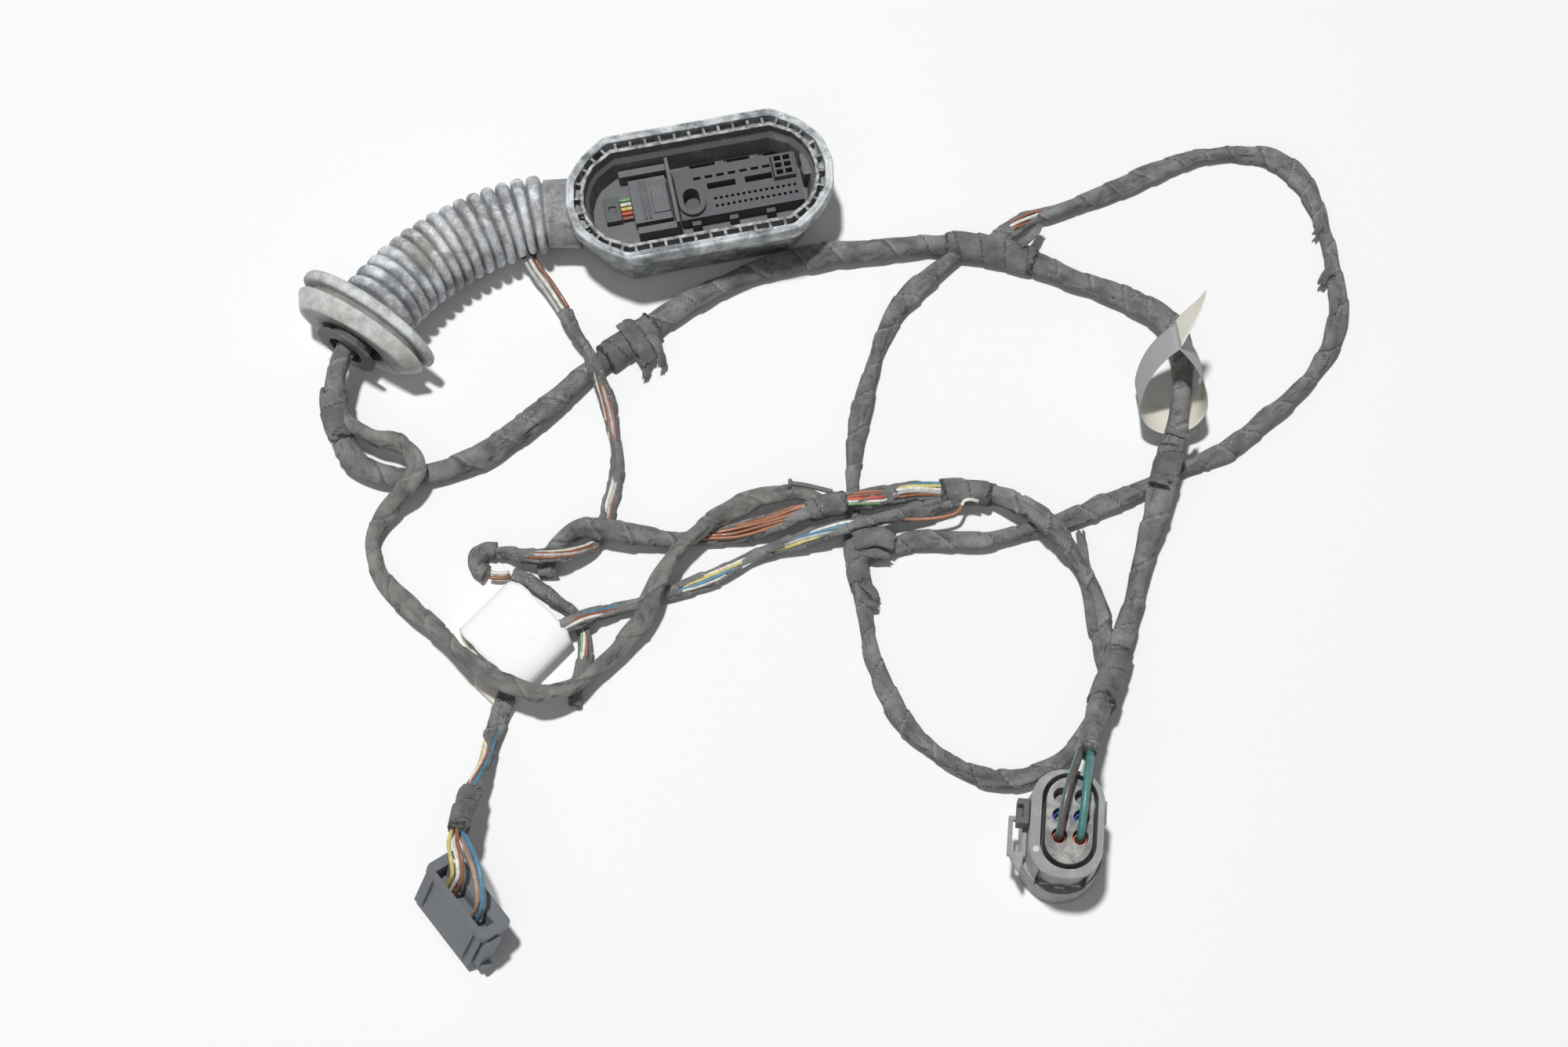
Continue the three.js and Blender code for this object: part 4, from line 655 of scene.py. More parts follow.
# Branches. Each window is a slanted opening between two turns of tape with wires under it:
# the middle of the opening, its length, the angle that it faces, its width round the tube,
# how far it slants and the wires that show, in millimetres and degrees.
branchLook = {
    "trunk": {"d": 10, "lap": 17, "flat": 0.13, "twist": 84, "seed": 1.3, "windows": []},
    "smooth": {"d": 7.5, "lap": 24, "flat": 0.2, "twist": 70, "seed": 4.1, "windows": []},
    "middle": {"d": 8.5, "lap": 15, "flat": 0.22, "twist": 62, "seed": 2.2, "windows": [
        ((109, 16), 22, 95, 118, 11, ["blue", "yellow", "white", "grey", "brown"]),
        ((73, 12), 14, 95, 104, 11, ["orange", "brown", "red", "white", "green"]),
        ((29, 1), 30, 80, 126, 18, ["brown", "orange", "orange", "brown", "orange"])]},
    "plug": {"d": 6.5, "lap": 13, "flat": 0.24, "twist": 55, "seed": 5.4, "windows": [
        ((58, -2), 17, 105, 104, 11, ["white", "blue", "grey", "yellow"]),
        ((14, -20), 19, 105, 96, 10, ["white", "yellow", "blue", "white"]),
        ((-40, -40), 13, 90, 86, 9, ["blue", "brown", "white"]),
        ((-82, -106), 22, 50, 150, 7, ["blue", "yellow", "white", "brown", "blue"])]},
    "boot": {"d": 6, "lap": 12, "flat": 0.18, "twist": 50, "seed": 3.3, "windows": [
        ((-34, 58), 21, 70, 108, 8, ["white", "brown", "grey", "brown"]),
        ((-31, 13), 16, 100, 100, 7, ["white", "grey", "brown"]),
        ((-50, -13), 24, 95, 96, 10, ["white", "brown", "grey", "brown"])]},
    "tail": {"d": 6, "lap": 12, "flat": 0.18, "twist": 52, "seed": 6.1, "windows": [
        ((-44.5, -50), 11, 100, 96, 5, ["green", "white", "brown"])]},
    "cross": {"d": 7.5, "lap": 15, "flat": 0.25, "twist": 66, "seed": 7.7, "windows": []},
    "rear": {"d": 7.5, "lap": 16, "flat": 0.23, "twist": 74, "seed": 8.8, "windows": [
        ((154, 152), 9, 90, 110, 5, ["brown", "white", "brown"])]},
}


def windowSpans(path, windows):
    spans = []
    for (x, y), length, faces, wide, slant, colors in windows:
        i = nearestIndex(path, x * mm, y * mm)
        middle = lineLength(path[:i + 1])
        spans.append((middle, length * mm, math.radians(faces), math.radians(wide), slant * mm, colors))
    return spans


def branchRadius(look, spans):
    r = look["d"] / 2 * mm
    base = wound(r, look["lap"] * mm, 0.0006, 0.00062, look["seed"], 0.07)

    def radius(s, share):
        angle = fullTurn * share
        turned = math.pi * s / (look["twist"] * mm) + look["seed"]
        size, fold = base(s, share)
        size *= 1 + look["flat"] * math.cos(2 * (angle - turned)) - 0.05 * look["flat"]
        for middle, length, faces, wide, slant, _ in spans:
            off = (angle - faces + math.pi) % fullTurn - math.pi
            place = s - middle - slant * off / (wide / 2)
            inside = min((length / 2 - abs(place)) / 0.0012, (wide / 2 - abs(off)) / 0.25)
            if inside > 0:
                size -= (size - 0.5 * r) * min(1.0, inside)
                # The sunken tape in a window is darkened with painted shade
                fold = max(fold, min(1.0, inside))
        return size, fold
    return radius


shownWireLook = {"radius": 0.82, "cover": 0.15, "overrun": 3, "dive": 1.6, "spread": 1.15, "twist": 0.45}


# Wires that lie in an opening of the tape and dive under the tape at both ends of it
def windowWires(name, path, look, spans):
    made = []
    wire = shownWireLook
    frames = ringFrames(path)
    step = lineLength(path) / (len(path) - 1)
    r = look["d"] / 2 * mm
    wireRadius = wire["radius"] * mm
    for number, (middle, length, faces, wide, slant, colors) in enumerate(spans):
        reach = length / 2 + abs(slant) + wire["overrun"] * mm
        first = max(1, int((middle - reach) / step))
        last = min(len(path) - 2, int((middle + reach) / step))
        for k, color in enumerate(colors):
            points = []
            for i in range(first, last + 1, 2):
                _, side, rise = frames[i]
                s = i * step
                along = (s - middle) / reach
                share = (k + 0.5) / len(colors) - 0.5
                sway = 0.12 * math.sin(s * 190 + k)
                angle = faces + share * wire["spread"] * wide - wire["twist"] * along + sway
                deep = r - wireRadius - (wire["cover"] + wire["dive"] * max(0.0, abs(along) - 0.55) / 0.45) * mm
                points.append(path[i] + side * (deep * math.cos(angle)) + rise * (deep * math.sin(angle)))
            if len(points) < 4:
                continue
            line = evenSteps(points, 0.0014)
            shownName = f"{name}_shown_wire_{number + 1}_{k + 1}"
            obj = tubeMesh(shownName, line, lambda s, share: (wireRadius, 0.0), 10, wires[color], ribs=10)
            made.append(ridden(obj, wireSlots[color]))
    return made


ribWidth = 0.00085  # of the tape's weave
leadPath = {}
shownWires = {}
leadPiece = {}
for name, look in branchLook.items():
    path = throughPoints(inMetres(routes[name]), 0.0008)
    spans = windowSpans(path, look["windows"])
    material = sheath if name == "smooth" else tape
    leadPath[name] = path
    node = {"trunk": "trunk"}.get(name, f"{name}_lead")
    obj = liftedOffFloor(tubeMesh(f"{name}_branch", path, branchRadius(look, spans), 28, material,
                                  ribs=round(math.pi * look["d"] * mm / ribWidth), ribWidth=ribWidth))
    leadPiece[name] = ridden(obj, "smooth_sheath" if name == "smooth" else "cloth_tape", node)
    shownWires[name] = windowWires(name, path, look, spans)
print("branches made")

# Tape wraps: thicker layers of tape round a branch with ragged ends. For each one, the branch,
# where it starts and ends on it, its width in millimetres and its seed.
wrapLook = {
    "exit_wrap": ("trunk", (-155, 61), (-151.5, 42), 12.6, 1.1),
    "bulge_wrap": ("trunk", (-37, 83), (-16, 99), 14, 2.2),
    "upper_wrap": ("trunk", (117, 140), (157, 131), 13.4, 3.3),
    "fray_wrap": ("trunk", (212.5, 35), (208.5, 18), 12.6, 4.4),
    "merge_wrap": ("trunk", (186, -56), (177, -82), 13, 5.5),
    "join_wrap": ("middle", (70, 11), (54, 8), 11.2, 6.6),
    "centre_wrap": ("middle", (134, 16), (112, 18), 11.4, 7.7),
    "tee_wrap": ("cross", (74, -3.5), (76.5, -25), 10.4, 8.8),
    "plug_wrap": ("plug", (-87, -121), (-90.6, -140.5), 9.6, 9.9)}


def wrapMesh(name, path, inner, outer, seed):
    length = lineLength(path)
    layerHeight = 0.0007

    def radius(s, share):
        x, y = math.cos(fullTurn * share), math.sin(fullTurn * share)
        ragged = 0.0022 * noise.noise(Vector((3 * x, 3 * y, seed)))
        edge = min(s + ragged, length - s + 1.4 * ragged)
        rise = max(0.0, min(1.0, edge / 0.0012))
        turn = (s / 0.011 + share + seed) % 1.0
        layer = layerHeight * ((1 - turn) if turn > 0.08 else turn / 0.08)
        crumple = layerHeight * noise.noise(Vector((s * 120, 2 * x + seed, 2 * y)))
        size = inner + rise * (outer - inner - 0.0005 + layer + crumple)
        # Lap steps and the rising ragged ends are darkened with painted shade
        return size, 0.8 if turn < 0.05 or (0 < rise < 1) else 0.0
    return liftedOffFloor(tubeMesh(name + "_tape", path, radius, 36, wrapTape,
                                   ribs=round(fullTurn * outer / ribWidth), ribWidth=ribWidth))


wrapPiece = {}
for name, (carrier, start, end, width, seed) in wrapLook.items():
    path = leadPath[carrier]
    first, last = sorted(nearestIndex(path, x * mm, y * mm) for x, y in (start, end))
    span = evenSteps(path[max(0, first - 1):min(len(path) - 1, last + 1) + 1], 0.0007)
    obj = wrapMesh(name, span, branchLook[carrier]["d"] / 2 * mm, width / 2 * mm, seed)
    wrapPiece[name] = ridden(obj, "cloth_tape", name)
foldPath = throughPoints(inMetres(routes["fold"]), 0.0008)
foldRadius = wound(0.004, 0.009, 0.0006, 0.0008, 2.5, 0.1)
foldTape = tubeMesh("folded_tape", foldPath, foldRadius, 24, wrapTape, ribs=28)
foldPiece = ridden(foldTape, "cloth_tape", "tape_fold")
print("wraps made")


def besides(points, offset):
    out = []
    for i, p in enumerate(points):
        a, b = points[max(i - 1, 0)], points[min(i + 1, len(points) - 1)]
        side = Vector((b.y - a.y, a.x - b.x, 0)).normalized()
        out.append(p + side * offset)
    return out


bareLook = {"diameter": 1.8, "pitch": 2.3, "lead": ("brown", "white", "grey"), "fold": ("white", "brown")}
looseLook = {"power_wire_1": ("dark", 3.4), "power_wire_2": ("teal", 3.4), "plug_wire_1": ("yellow", 1.8),
             "plug_wire_2": ("white", 1.8), "plug_wire_3": ("brown", 1.8), "plug_wire_4": ("pale", 1.8),
             "plug_wire_5": ("blue", 1.8)}


def wireRow(name, node, points, colors):
    row = []
    for i, color in enumerate(colors):
        offset = (i - (len(colors) - 1) / 2) * bareLook["pitch"] * mm
        line = besides(inMetres(points), offset)
        row.append(wireTube(f"{name}_{i + 1}", line, bareLook["diameter"] * mm, color, f"{node}_{i + 1}"))
    return row


bareWires = wireRow("bare_wire", "lead_wire", routes["bare"], bareLook["lead"])
foldWires = wireRow("folded_wire", "fold_wire", routes["foldWire"], bareLook["fold"])
looseWires = {"power": [], "plug": []}
for node, (color, diameter) in looseLook.items():
    obj = wireTube(node + "_sheath", inMetres(wireRoutes[node]), diameter * mm, color, node)
    looseWires[node.split("_")[0]].append(obj)
print("bare wires made")


def sheetFaces(rows):
    count = len(rows[0])
    return [(i * count + j, i * count + j + 1, (i + 1) * count + j + 1, (i + 1) * count + j)
            for i in range(len(rows) - 1) for j in range(count - 1)]


def thickened(obj, thickness):
    solid = obj.modifiers.new("thickness", "SOLIDIFY")
    solid.thickness = thickness
    solid.offset = 0
    return solid


# Loose flaps of tape: a thin strip along a short line. For each one, its line, its width, the roll
# of its width in degrees at both ends, how far its middle arches up, and its seed.
def tapeFlap(name, look):
    points, width, roll, arch, seed = look
    path = throughPoints(inMetres(points), 0.0007)
    across = 8
    rows, uvs = [], []
    for i, (p, (tangent, side, rise)) in enumerate(zip(path, ringFrames(path))):
        t = i / (len(path) - 1)
        angle = math.radians(roll[0] + (roll[1] - roll[0]) * t)
        cross = side * math.cos(angle) + rise * math.sin(angle)
        up = rise * math.cos(angle) - side * math.sin(angle)
        row = []
        for j in range(across + 1):
            v = j / across - 0.5
            reach = width * (1 + 0.16 * noise.noise(Vector((i * 0.16, 3 * seed, 1.0 if v > 0 else -1.0))))
            torn = 2.2 * noise.noise(Vector((j * 0.9, seed, 2.0))) * abs(2 * t - 1) ** 9
            ripple = 0.8 * noise.noise(Vector((i * 0.13, 3 * v, seed)))
            ripple += 0.45 * noise.noise(Vector((i * 0.4, 7 * v, seed)))
            q = p + (cross * (v * reach) + up * (arch * (1 - 4 * v * v) + ripple) + tangent * torn) * mm
            q.z = max(q.z, 2 * floorGap)
            row.append(q)
        rows.append(row)
    for i in range(len(rows) - 1):
        for j in range(across):
            u, v = 0.82 * i, width / 0.85 * j / across
            uvs.append(((u, v), (u, v + width / 6.8), (u + 0.82, v + width / 6.8), (u + 0.82, v)))
    obj = meshObject(name, [v for row in rows for v in row], sheetFaces(rows), wrapTape, uvs=uvs)
    thickened(obj, 0.00045)
    return ridden(obj, "cloth_tape")


flapLook = {
    "trunk": {
        "bulge_collar": ([(-29, 101, 5), (-27, 96, 11.5), (-24, 91, 13), (-20, 86, 11), (-17, 81, 6)],
                         8.5, (0, 20), 1.0, 1.7),
        "bulge_fray_1": ([(-18, 92, 11), (-14, 88, 11.5), (-12, 83, 9), (-12, 79, 6)], 4.5, (10, 55), 0.4, 2.9),
        "bulge_fray_2": ([(-22, 84, 8), (-19, 79, 6), (-19, 75, 3)], 3.5, (-20, 40), 0.3, 3.3),
        "trunk_fray": ([(211, 42, 22), (216, 39, 22.5), (221, 40, 20), (224, 43, 18)], 3.2, (0, 50), 0.3, 4.6),
        "upper_fray": ([(150, 137, 11), (156, 142, 11.5), (160, 148, 9.5)], 4.2, (0, 35), 0.4, 5.2),
        "trunk_knot": ([(203, 20, 20), (206, 18, 22.6), (210, 17, 21.5)], 5, (-10, 30), 0.9, 5.9)},
    "middle": {
        "loose_strip": ([(172, -1, 8.6), (173.5, -12, 6.8), (174.6, -24, 6.2), (175, -36, 6.4),
                         (176, -46, 6.6)], 4.2, (14, -24), 0.6, 6.4)},
    "cross": {
        "tee_collar_1": ([(73, -5, 9.6), (79, -4.4, 11.4), (85, -4.6, 11.2), (91, -6, 9.6)],
                         9.5, (-8, 14), 1.2, 7.1),
        "tee_collar_2": ([(76, -9, 8.8), (83, -10, 8.6), (89, -10.4, 6.4)], 6.5, (10, -12), 0.7, 7.9),
        "tee_rag_1": ([(77, -24, 8), (81, -28, 7.5), (83.5, -31, 5.5)], 4.4, (0, 35), 0.4, 8.3),
        "tee_rag_2": ([(76, -31, 8), (80, -33.5, 7.4), (83, -34, 5.4)], 3.4, (0, 24), 0.3, 8.8)},
    "rear": {
        "rear_fray_1": ([(291, 150, 6.6), (287.6, 147.6, 6.8), (285.2, 144.6, 5.2)], 2.8, (0, 30), 0.4, 9.4),
        "rear_fray_2": ([(293, 127, 7.4), (289, 124, 7.2), (286.4, 120, 5)], 4.2, (0, 40), 0.4, 9.9),
        "rear_fray_3": ([(293, 112, 7.6), (291.4, 108, 8), (290.6, 104, 7.2)], 2.6, (0, -28), 0.4, 10.4)}}
flapPiece = {}
for carrier, group in flapLook.items():
    flapPiece[carrier] = [tapeFlap(name, look) for name, look in group.items()]
print("flaps made")

# One orange wire that left its branch and ends in a white tip, and the tab of a cable tie
strayLook = {"diameter": 1.6,
             "wire": [(93, 4.5, 9.4), (99, 3.6, 11.4), (107, 3.6, 12.2), (114, 4.6, 12.6), (118.6, 6.4, 12.8),
                      (120.4, 9.4, 12.6)],
             "tip": [(120.4, 9.4, 12.6), (121.6, 11.6, 12.9), (124.6, 12.2, 13), (128, 11.4, 12.6)]}
strayWire = wireTube("stray_wire", inMetres(strayLook["wire"]), strayLook["diameter"] * mm, "orange")
strayTip = wireTube("stray_wire_tip", inMetres(strayLook["tip"]), strayLook["diameter"] * mm, "white")
tabLook = {"line": [(45, 19.4, 14), (46.6, 19.2, 14.2), (52, 18.2, 14.9), (58, 16.6, 15.2), (64, 14.8, 15.6)],
           "head": 2.1, "headLength": 1.6, "stem": 1.1}


def tabRadius(s, share):
    return (tabLook["head"] if s < tabLook["headLength"] * mm else tabLook["stem"]) * mm, 0.0


tabPath = throughPoints(inMetres(tabLook["line"]), 0.0004)
cableTab = tubeMesh("cable_tab", tabPath, tabRadius, 16, midPlastic, ribs=8)
flapPiece["smooth"] = [ridden(cableTab, "black_plastic")]
flapPiece["plug"] = [strayWire, strayTip]

# How each cord ends, the wraps on it and the other pieces on it
cordFacts = {
    "trunk": ("object", ["exit_wrap", "bulge_wrap", "upper_wrap", "fray_wrap", "merge_wrap"],
              looseWires["power"]),
    "smooth": ("object", [], []),
    "middle": ("object", ["join_wrap", "centre_wrap"], []),
    "plug": ("object", ["plug_wrap"], looseWires["plug"]),
    "boot": ("object", [], bareWires + [foldPiece] + foldWires),
    "tail": ("bare", [], []),
    "cross": ("object", ["tee_wrap"], []),
    "rear": ("object", [], [])}
for name, (farEnd, wraps, others) in cordFacts.items():
    path = leadPath[name]
    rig.cord(leadPiece[name], exit=path[0], length=lineLength(path), diameter=branchLook[name]["d"] * mm,
            far_end=farEnd, stiffness="medium", lay="loose", path=path,
            with_pieces=[wrapPiece[w] for w in wraps] + others + shownWires[name] + flapPiece.get(name, []))
print("cords declared")

# The rubber boot: a cup with a ridged rim, a ribbed sleeve and an oval grommet
cupLook = {"place": (5.4, 153.5), "yaw": 11.5, "length": 122, "width": 63.4, "height": 40, "straight": 77,
           "endRadius": 34.5, "endHalfAngle": 44.5, "corner": 3, "inner": 19, "rimFoot": 32, "ridges": 39.6,
           "facets": [(-1, 1.0), (-0.5, -0.2), (0, 0), (0.5, -0.2), (1, 1.0)]}
# The rim's profile: how far in from the outline, and how high
cupProfile = [(20, 0), (11.2, 0), (10.4, 0.4), (10, 1.2), (8, 15), (6.2, 29.6), (5.8, 30.7), (4.6, 31.3),
              (1.6, 31.7), (0.7, 32), (0.15, 32.7), (0, 33.6), (0.15, 35.4), (0.02, 36.9), (0.02, 38.4),
              (0.3, 39.4), (0.75, 39.85), (1.15, 39.95), (1.45, 39.8), (1.62, 39.45), (1.8, 39.25),
              (1.98, 39.45), (2.15, 39.8), (2.45, 39.95), (2.7, 39.8), (2.85, 39.5), (3.0, 39.45),
              (3.15, 39.7), (3.4, 39.85), (3.65, 39.75), (3.8, 39.3), (3.85, 38.2), (3.9, 35), (4.4, 33.9),
              (5.4, 33.4), (7.6, 32), (8.5, 30.6), (12.2, 2.6), (12.8, 2.2), (20, 2.2)]


def cupCorners(look):
    corners = []
    centre = look["length"] / 2 - look["endRadius"]
    for side in (1, -1):
        corners.append((side * look["straight"] / 2, -side * look["width"] / 2))
        for share, inset in look["facets"]:
            angle = math.radians(look["endHalfAngle"] * share)
            reach = look["endRadius"] - inset
            corners.append((side * (centre + reach * math.cos(angle)), side * reach * math.sin(angle)))
        corners.append((side * look["straight"] / 2, side * look["width"] / 2))
    return [Vector((x, y, 0)) for x, y in corners]


def closedSteps(corners, step):
    return evenSteps(corners + [corners[0]], step)[:-1]


def cupRing(look, step=1.5):
    line = closedSteps(cupCorners(look), step)
    for _ in range(look["corner"]):
        line = [(line[i - 1] + line[i] * 2 + line[(i + 1) % len(line)]) / 4 for i in range(len(line))]
    return line


def outwards(line):
    count = len(line)
    normals = []
    for i in range(count):
        along = line[(i + 1) % count] - line[i - 1]
        normals.append(Vector((along.y, -along.x, 0)).normalized())
    return normals


def inCup(x, y, z):
    a = math.radians(cupLook["yaw"])
    cx, cy = cupLook["place"]
    return Vector((cx + x * math.cos(a) - y * math.sin(a), cy + x * math.sin(a) + y * math.cos(a), z)) * mm


def loftRings(name, rings, material, crest, caps=True, lips=None):
    count = len(rings[0])
    verts = [v for ring in rings for v in ring]
    faces = []
    for j in range(len(rings) - 1):
        for i in range(count):
            k = (i + 1) % count
            faces.append((j * count + i, j * count + k, (j + 1) * count + k, (j + 1) * count + i))
    if caps:
        faces += [tuple(range(count))[::-1], tuple((len(rings) - 1) * count + i for i in range(count))]
    attributes = {"crest": [crest[j] for j in range(len(rings)) for _ in range(count)]}
    if lips:
        attributes["lip"] = [lips[j] for j in range(len(rings)) for _ in range(count)]
    return meshObject(name, verts, faces, material, attributes=attributes)


# The wall sways a little, and the crest value is highest on the rim's ridges, which turn paler: partly dust, partly
# painted highlight
def bootCup(look):
    line = cupRing(look)
    normals = outwards(line)
    rings, crests = [], []
    for inset, z in cupProfile:
        ring = []
        for p, n in zip(line, normals):
            sway = 0.22 * noise.noise(Vector((p.x * 0.05, p.y * 0.05, z * 0.06)))
            lift = 0.25 * noise.noise(Vector((p.x * 0.06, p.y * 0.06, 4)))
            q = p - n * (inset + (sway if inset < look["inner"] else 0))
            ring.append(inCup(q.x, q.y, z + (lift if z > look["rimFoot"] else 0)))
        rings.append(ring)
        crests.append(1.0 if z > look["ridges"] else 0.55 if z > look["rimFoot"] else 0.3)
    return loftRings("boot_cup", rings, rimRubber, crests)


cup = bootCup(cupLook)
print("cup made")

# The sleeve, from the neck in the cup's wall to the grommet. The radii are rib, root, neck, half
# and bore, and the lengths are start, pitch, neckGap, lip, groove, snap and ring.
sleeveLook = {"ribs": 15, "start": 7.5, "pitch": 6.1, "rib": 18, "root": 13.7, "neck": 15.6, "neckGap": 1.5,
              "lip": 6, "groove": 2.6, "grooveDepth": 4.5, "snap": 8, "ring": 5, "half": 22.6, "oval": 1.57,
              "bore": 10, "wall": 1.5, "sides": 96, "seam": 66, "seamHeight": 0.45, "dents": 0.35}


# The outline of one rib, from 0 at its feet to 1 on its crest
def lobe(t):
    return (1 - abs(2 * t - 1) ** 2.7) ** 0.62


def sleeveStations(look, length):
    snapEnd = length - look["ring"]
    snapStart = snapEnd - look["snap"]
    lipEnd = snapStart - look["groove"]
    lipStart = lipEnd - look["lip"]
    ribsEnd = lipStart - look["neckGap"]
    ribsStart = ribsEnd - look["ribs"] * look["pitch"]
    return ribsStart, ribsEnd, lipStart, lipEnd, snapStart, snapEnd


def sleeveProfile(look, length):
    ribsStart, ribsEnd, lipStart, lipEnd, snapStart, snapEnd = sleeveStations(look, length)
    half = look["half"]
    groove = half - look["grooveDepth"]
    outside = [(look["start"], look["neck"] + 0.6, 0.3), (10, look["neck"] + 0.2, 0.4), (14, look["neck"], 0.4),
               (ribsStart - 1.0, look["neck"] - 0.1, 0.5)]
    steps = 14
    ribHeight = look["rib"] - look["root"]
    for i in range(look["ribs"]):
        for k in range(steps):
            hump = lobe(k / steps)
            outside.append((ribsStart + (i + k / steps) * look["pitch"], look["root"] + ribHeight * hump, hump))
    outside += [(ribsEnd, look["root"], 0.1), (lipStart - 0.1, look["root"] + 0.3, 0.2)]
    # The grommet's lip, its groove and the lip that snaps through the panel
    outside += [(lipStart + 0.15, look["root"] + 2.5, 0.3), (lipStart + 0.6, half - 3.2, 0.6),
                (lipStart + 1.1, half - 1.3, 0.9), (lipStart + 1.9, half - 0.35, 1.0), (lipStart + 3, half, 1.0),
                (lipEnd - 1.6, half, 1.0), (lipEnd - 0.7, half - 0.35, 1.0), (lipEnd - 0.2, half - 1.1, 0.8),
                (lipEnd, half - 2.2, 0.4), (lipEnd + 0.1, half - 4.1, 0.2),
                (lipEnd + 0.4, groove, 0.1), (snapStart - 0.4, groove, 0.1),
                (snapStart - 0.1, half - 4.1, 0.2), (snapStart, half - 2.2, 0.5),
                (snapStart + 0.3, half - 1.6, 0.9), (snapStart + 1.2, half - 1.25, 1.0),
                (snapStart + 2.6, half - 1.7, 1.0), (snapEnd - 1.4, half - 4.2, 0.9),
                (snapEnd - 0.5, half - 4.8, 0.9), (snapEnd - 0.05, half - 5.6, 0.7), (snapEnd, half - 6.6, 0.5),
                (snapEnd, look["bore"] + 0.6, 0.3), (snapEnd - 0.4, look["bore"], 0.2)]
    inside = [(lipStart, look["bore"], 0.0)]
    for i in range(look["ribs"] * 4, -1, -1):
        radius = look["root"] + ribHeight * lobe((i / 4) % 1.0) - look["wall"]
        inside.append((ribsStart + i / 4 * look["pitch"], radius, 0.0))
    inside.append((look["start"], look["root"] - look["wall"], 0.0))
    return outside + inside


# The grommet end widens to an oval. Along the ribs run a wavy moulding seam with a hollow beside
# it, and shallow dents.
def bootSleeve(look):
    bellowsPath = throughPoints(inMetres(routes["bellows"]), 0.0003)
    frames = ringFrames(bellowsPath)
    length = lineLength(bellowsPath) / mm
    ribsStart, ribsEnd, lipStart, lipEnd, _, _ = sleeveStations(look, length)
    rings, crests, lips = [], [], []
    for s, radius, crest in sleeveProfile(look, length):
        i = min(len(bellowsPath) - 1, max(0, round(s / length * (len(bellowsPath) - 1))))
        _, side, rise = frames[i]
        share = min(1.0, max(0.0, (s - lipStart + 0.5) / 1.7))
        wide = 1 + (look["oval"] - 1) * share * share * (3 - 2 * share) if crest > 0 else 1.0
        ring = []
        for j in range(look["sides"]):
            angle = fullTurn * j / look["sides"]
            size = radius
            if ribsStart < s < ribsEnd and crest > 0:
                seam = math.radians(look["seam"]) + 0.09 * math.sin(s * 1.03) + 0.05 * math.sin(s * 2.9)
                away = abs((angle - seam + math.pi) % fullTurn - math.pi)
                size += look["seamHeight"] * crest * math.exp(-(away / 0.035) ** 2)
                size -= 0.25 * math.exp(-((away - 0.09) / 0.04) ** 2)
                dent = noise.noise(Vector((s * 0.16, 2.2 * math.cos(angle), 2.2 * math.sin(angle))))
                size += look["dents"] * dent * crest
            across, up = size * wide * math.cos(angle), size * math.sin(angle)
            ring.append(bellowsPath[i] + (side * across + rise * up) * mm)
        rings.append(ring)
        # The crest value gives painted shade in the grooves and a painted highlight on the crests
        crests.append(crest)
        lips.append(0.0 if s < lipStart else 0.45 if s < lipEnd else 1.0)
    # Back to the first ring, so that the wall closes
    rings.append(list(rings[0]))
    crests.append(0.3)
    lips.append(0.0)
    obj = loftRings("boot_sleeve", rings, bootRubber, crests, caps=False, lips=lips)
    obj.modifiers.new("weld", "WELD").merge_threshold = 0.00001
    return obj


# A jagged block, tapered and tilted, that cuts the torn notch
tearLook = {"place": (-72, 132, 12.5), "length": 7, "width": 9, "height": 8, "yaw": -35, "taper": 0.15,
            "tilt": 0.6,
            "outline": [(-0.5, -0.5), (-0.1, -0.55), (0.3, -0.42), (0.55, -0.5), (0.42, -0.1), (0.6, 0.2),
                        (0.3, 0.5), (0.0, 0.38), (-0.3, 0.55), (-0.58, 0.3), (-0.4, 0.0)]}


def prismFaces(count):
    walls = [(i, (i + 1) % count, count + (i + 1) % count, count + i) for i in range(count)]
    return [tuple(range(count))[::-1], tuple(range(count, 2 * count))] + walls


def tearCutter(look):
    turn = math.radians(look["yaw"])
    cx, cy, cz = look["place"]
    verts = []
    for level in (-0.5, 0.5):
        for x, y in look["outline"]:
            px, py = x * look["length"] * (1 + look["taper"] * level), y * look["width"]
            verts.append(Vector((cx + px * math.cos(turn) - py * math.sin(turn),
                                 cy + px * math.sin(turn) + py * math.cos(turn),
                                 cz + level * look["height"] + look["tilt"] * x)) * mm)
    return meshObject("tear_cutter", verts, prismFaces(len(look["outline"])), bootRubber, smooth=False)


# The cut is applied here, so that the cutter doesn't stay in the scene
def tornBy(obj, cutter):
    cut = obj.modifiers.new("tear", "BOOLEAN")
    cut.operation = "DIFFERENCE"
    cut.object = cutter
    cut.solver = "EXACT"
    bpy.context.view_layer.update()
    graph = bpy.context.evaluated_depsgraph_get()
    finished = bpy.data.meshes.new_from_object(obj.evaluated_get(graph))
    obj.modifiers.clear()
    obj.data = finished
    bpy.data.objects.remove(cutter)
    return obj


sleeve = tornBy(bootSleeve(sleeveLook), tearCutter(tearLook))
ridden(cup, "boot_rubber", "rubber_boot")
ridden(sleeve, "boot_rubber", "rubber_boot")
print("sleeve made")

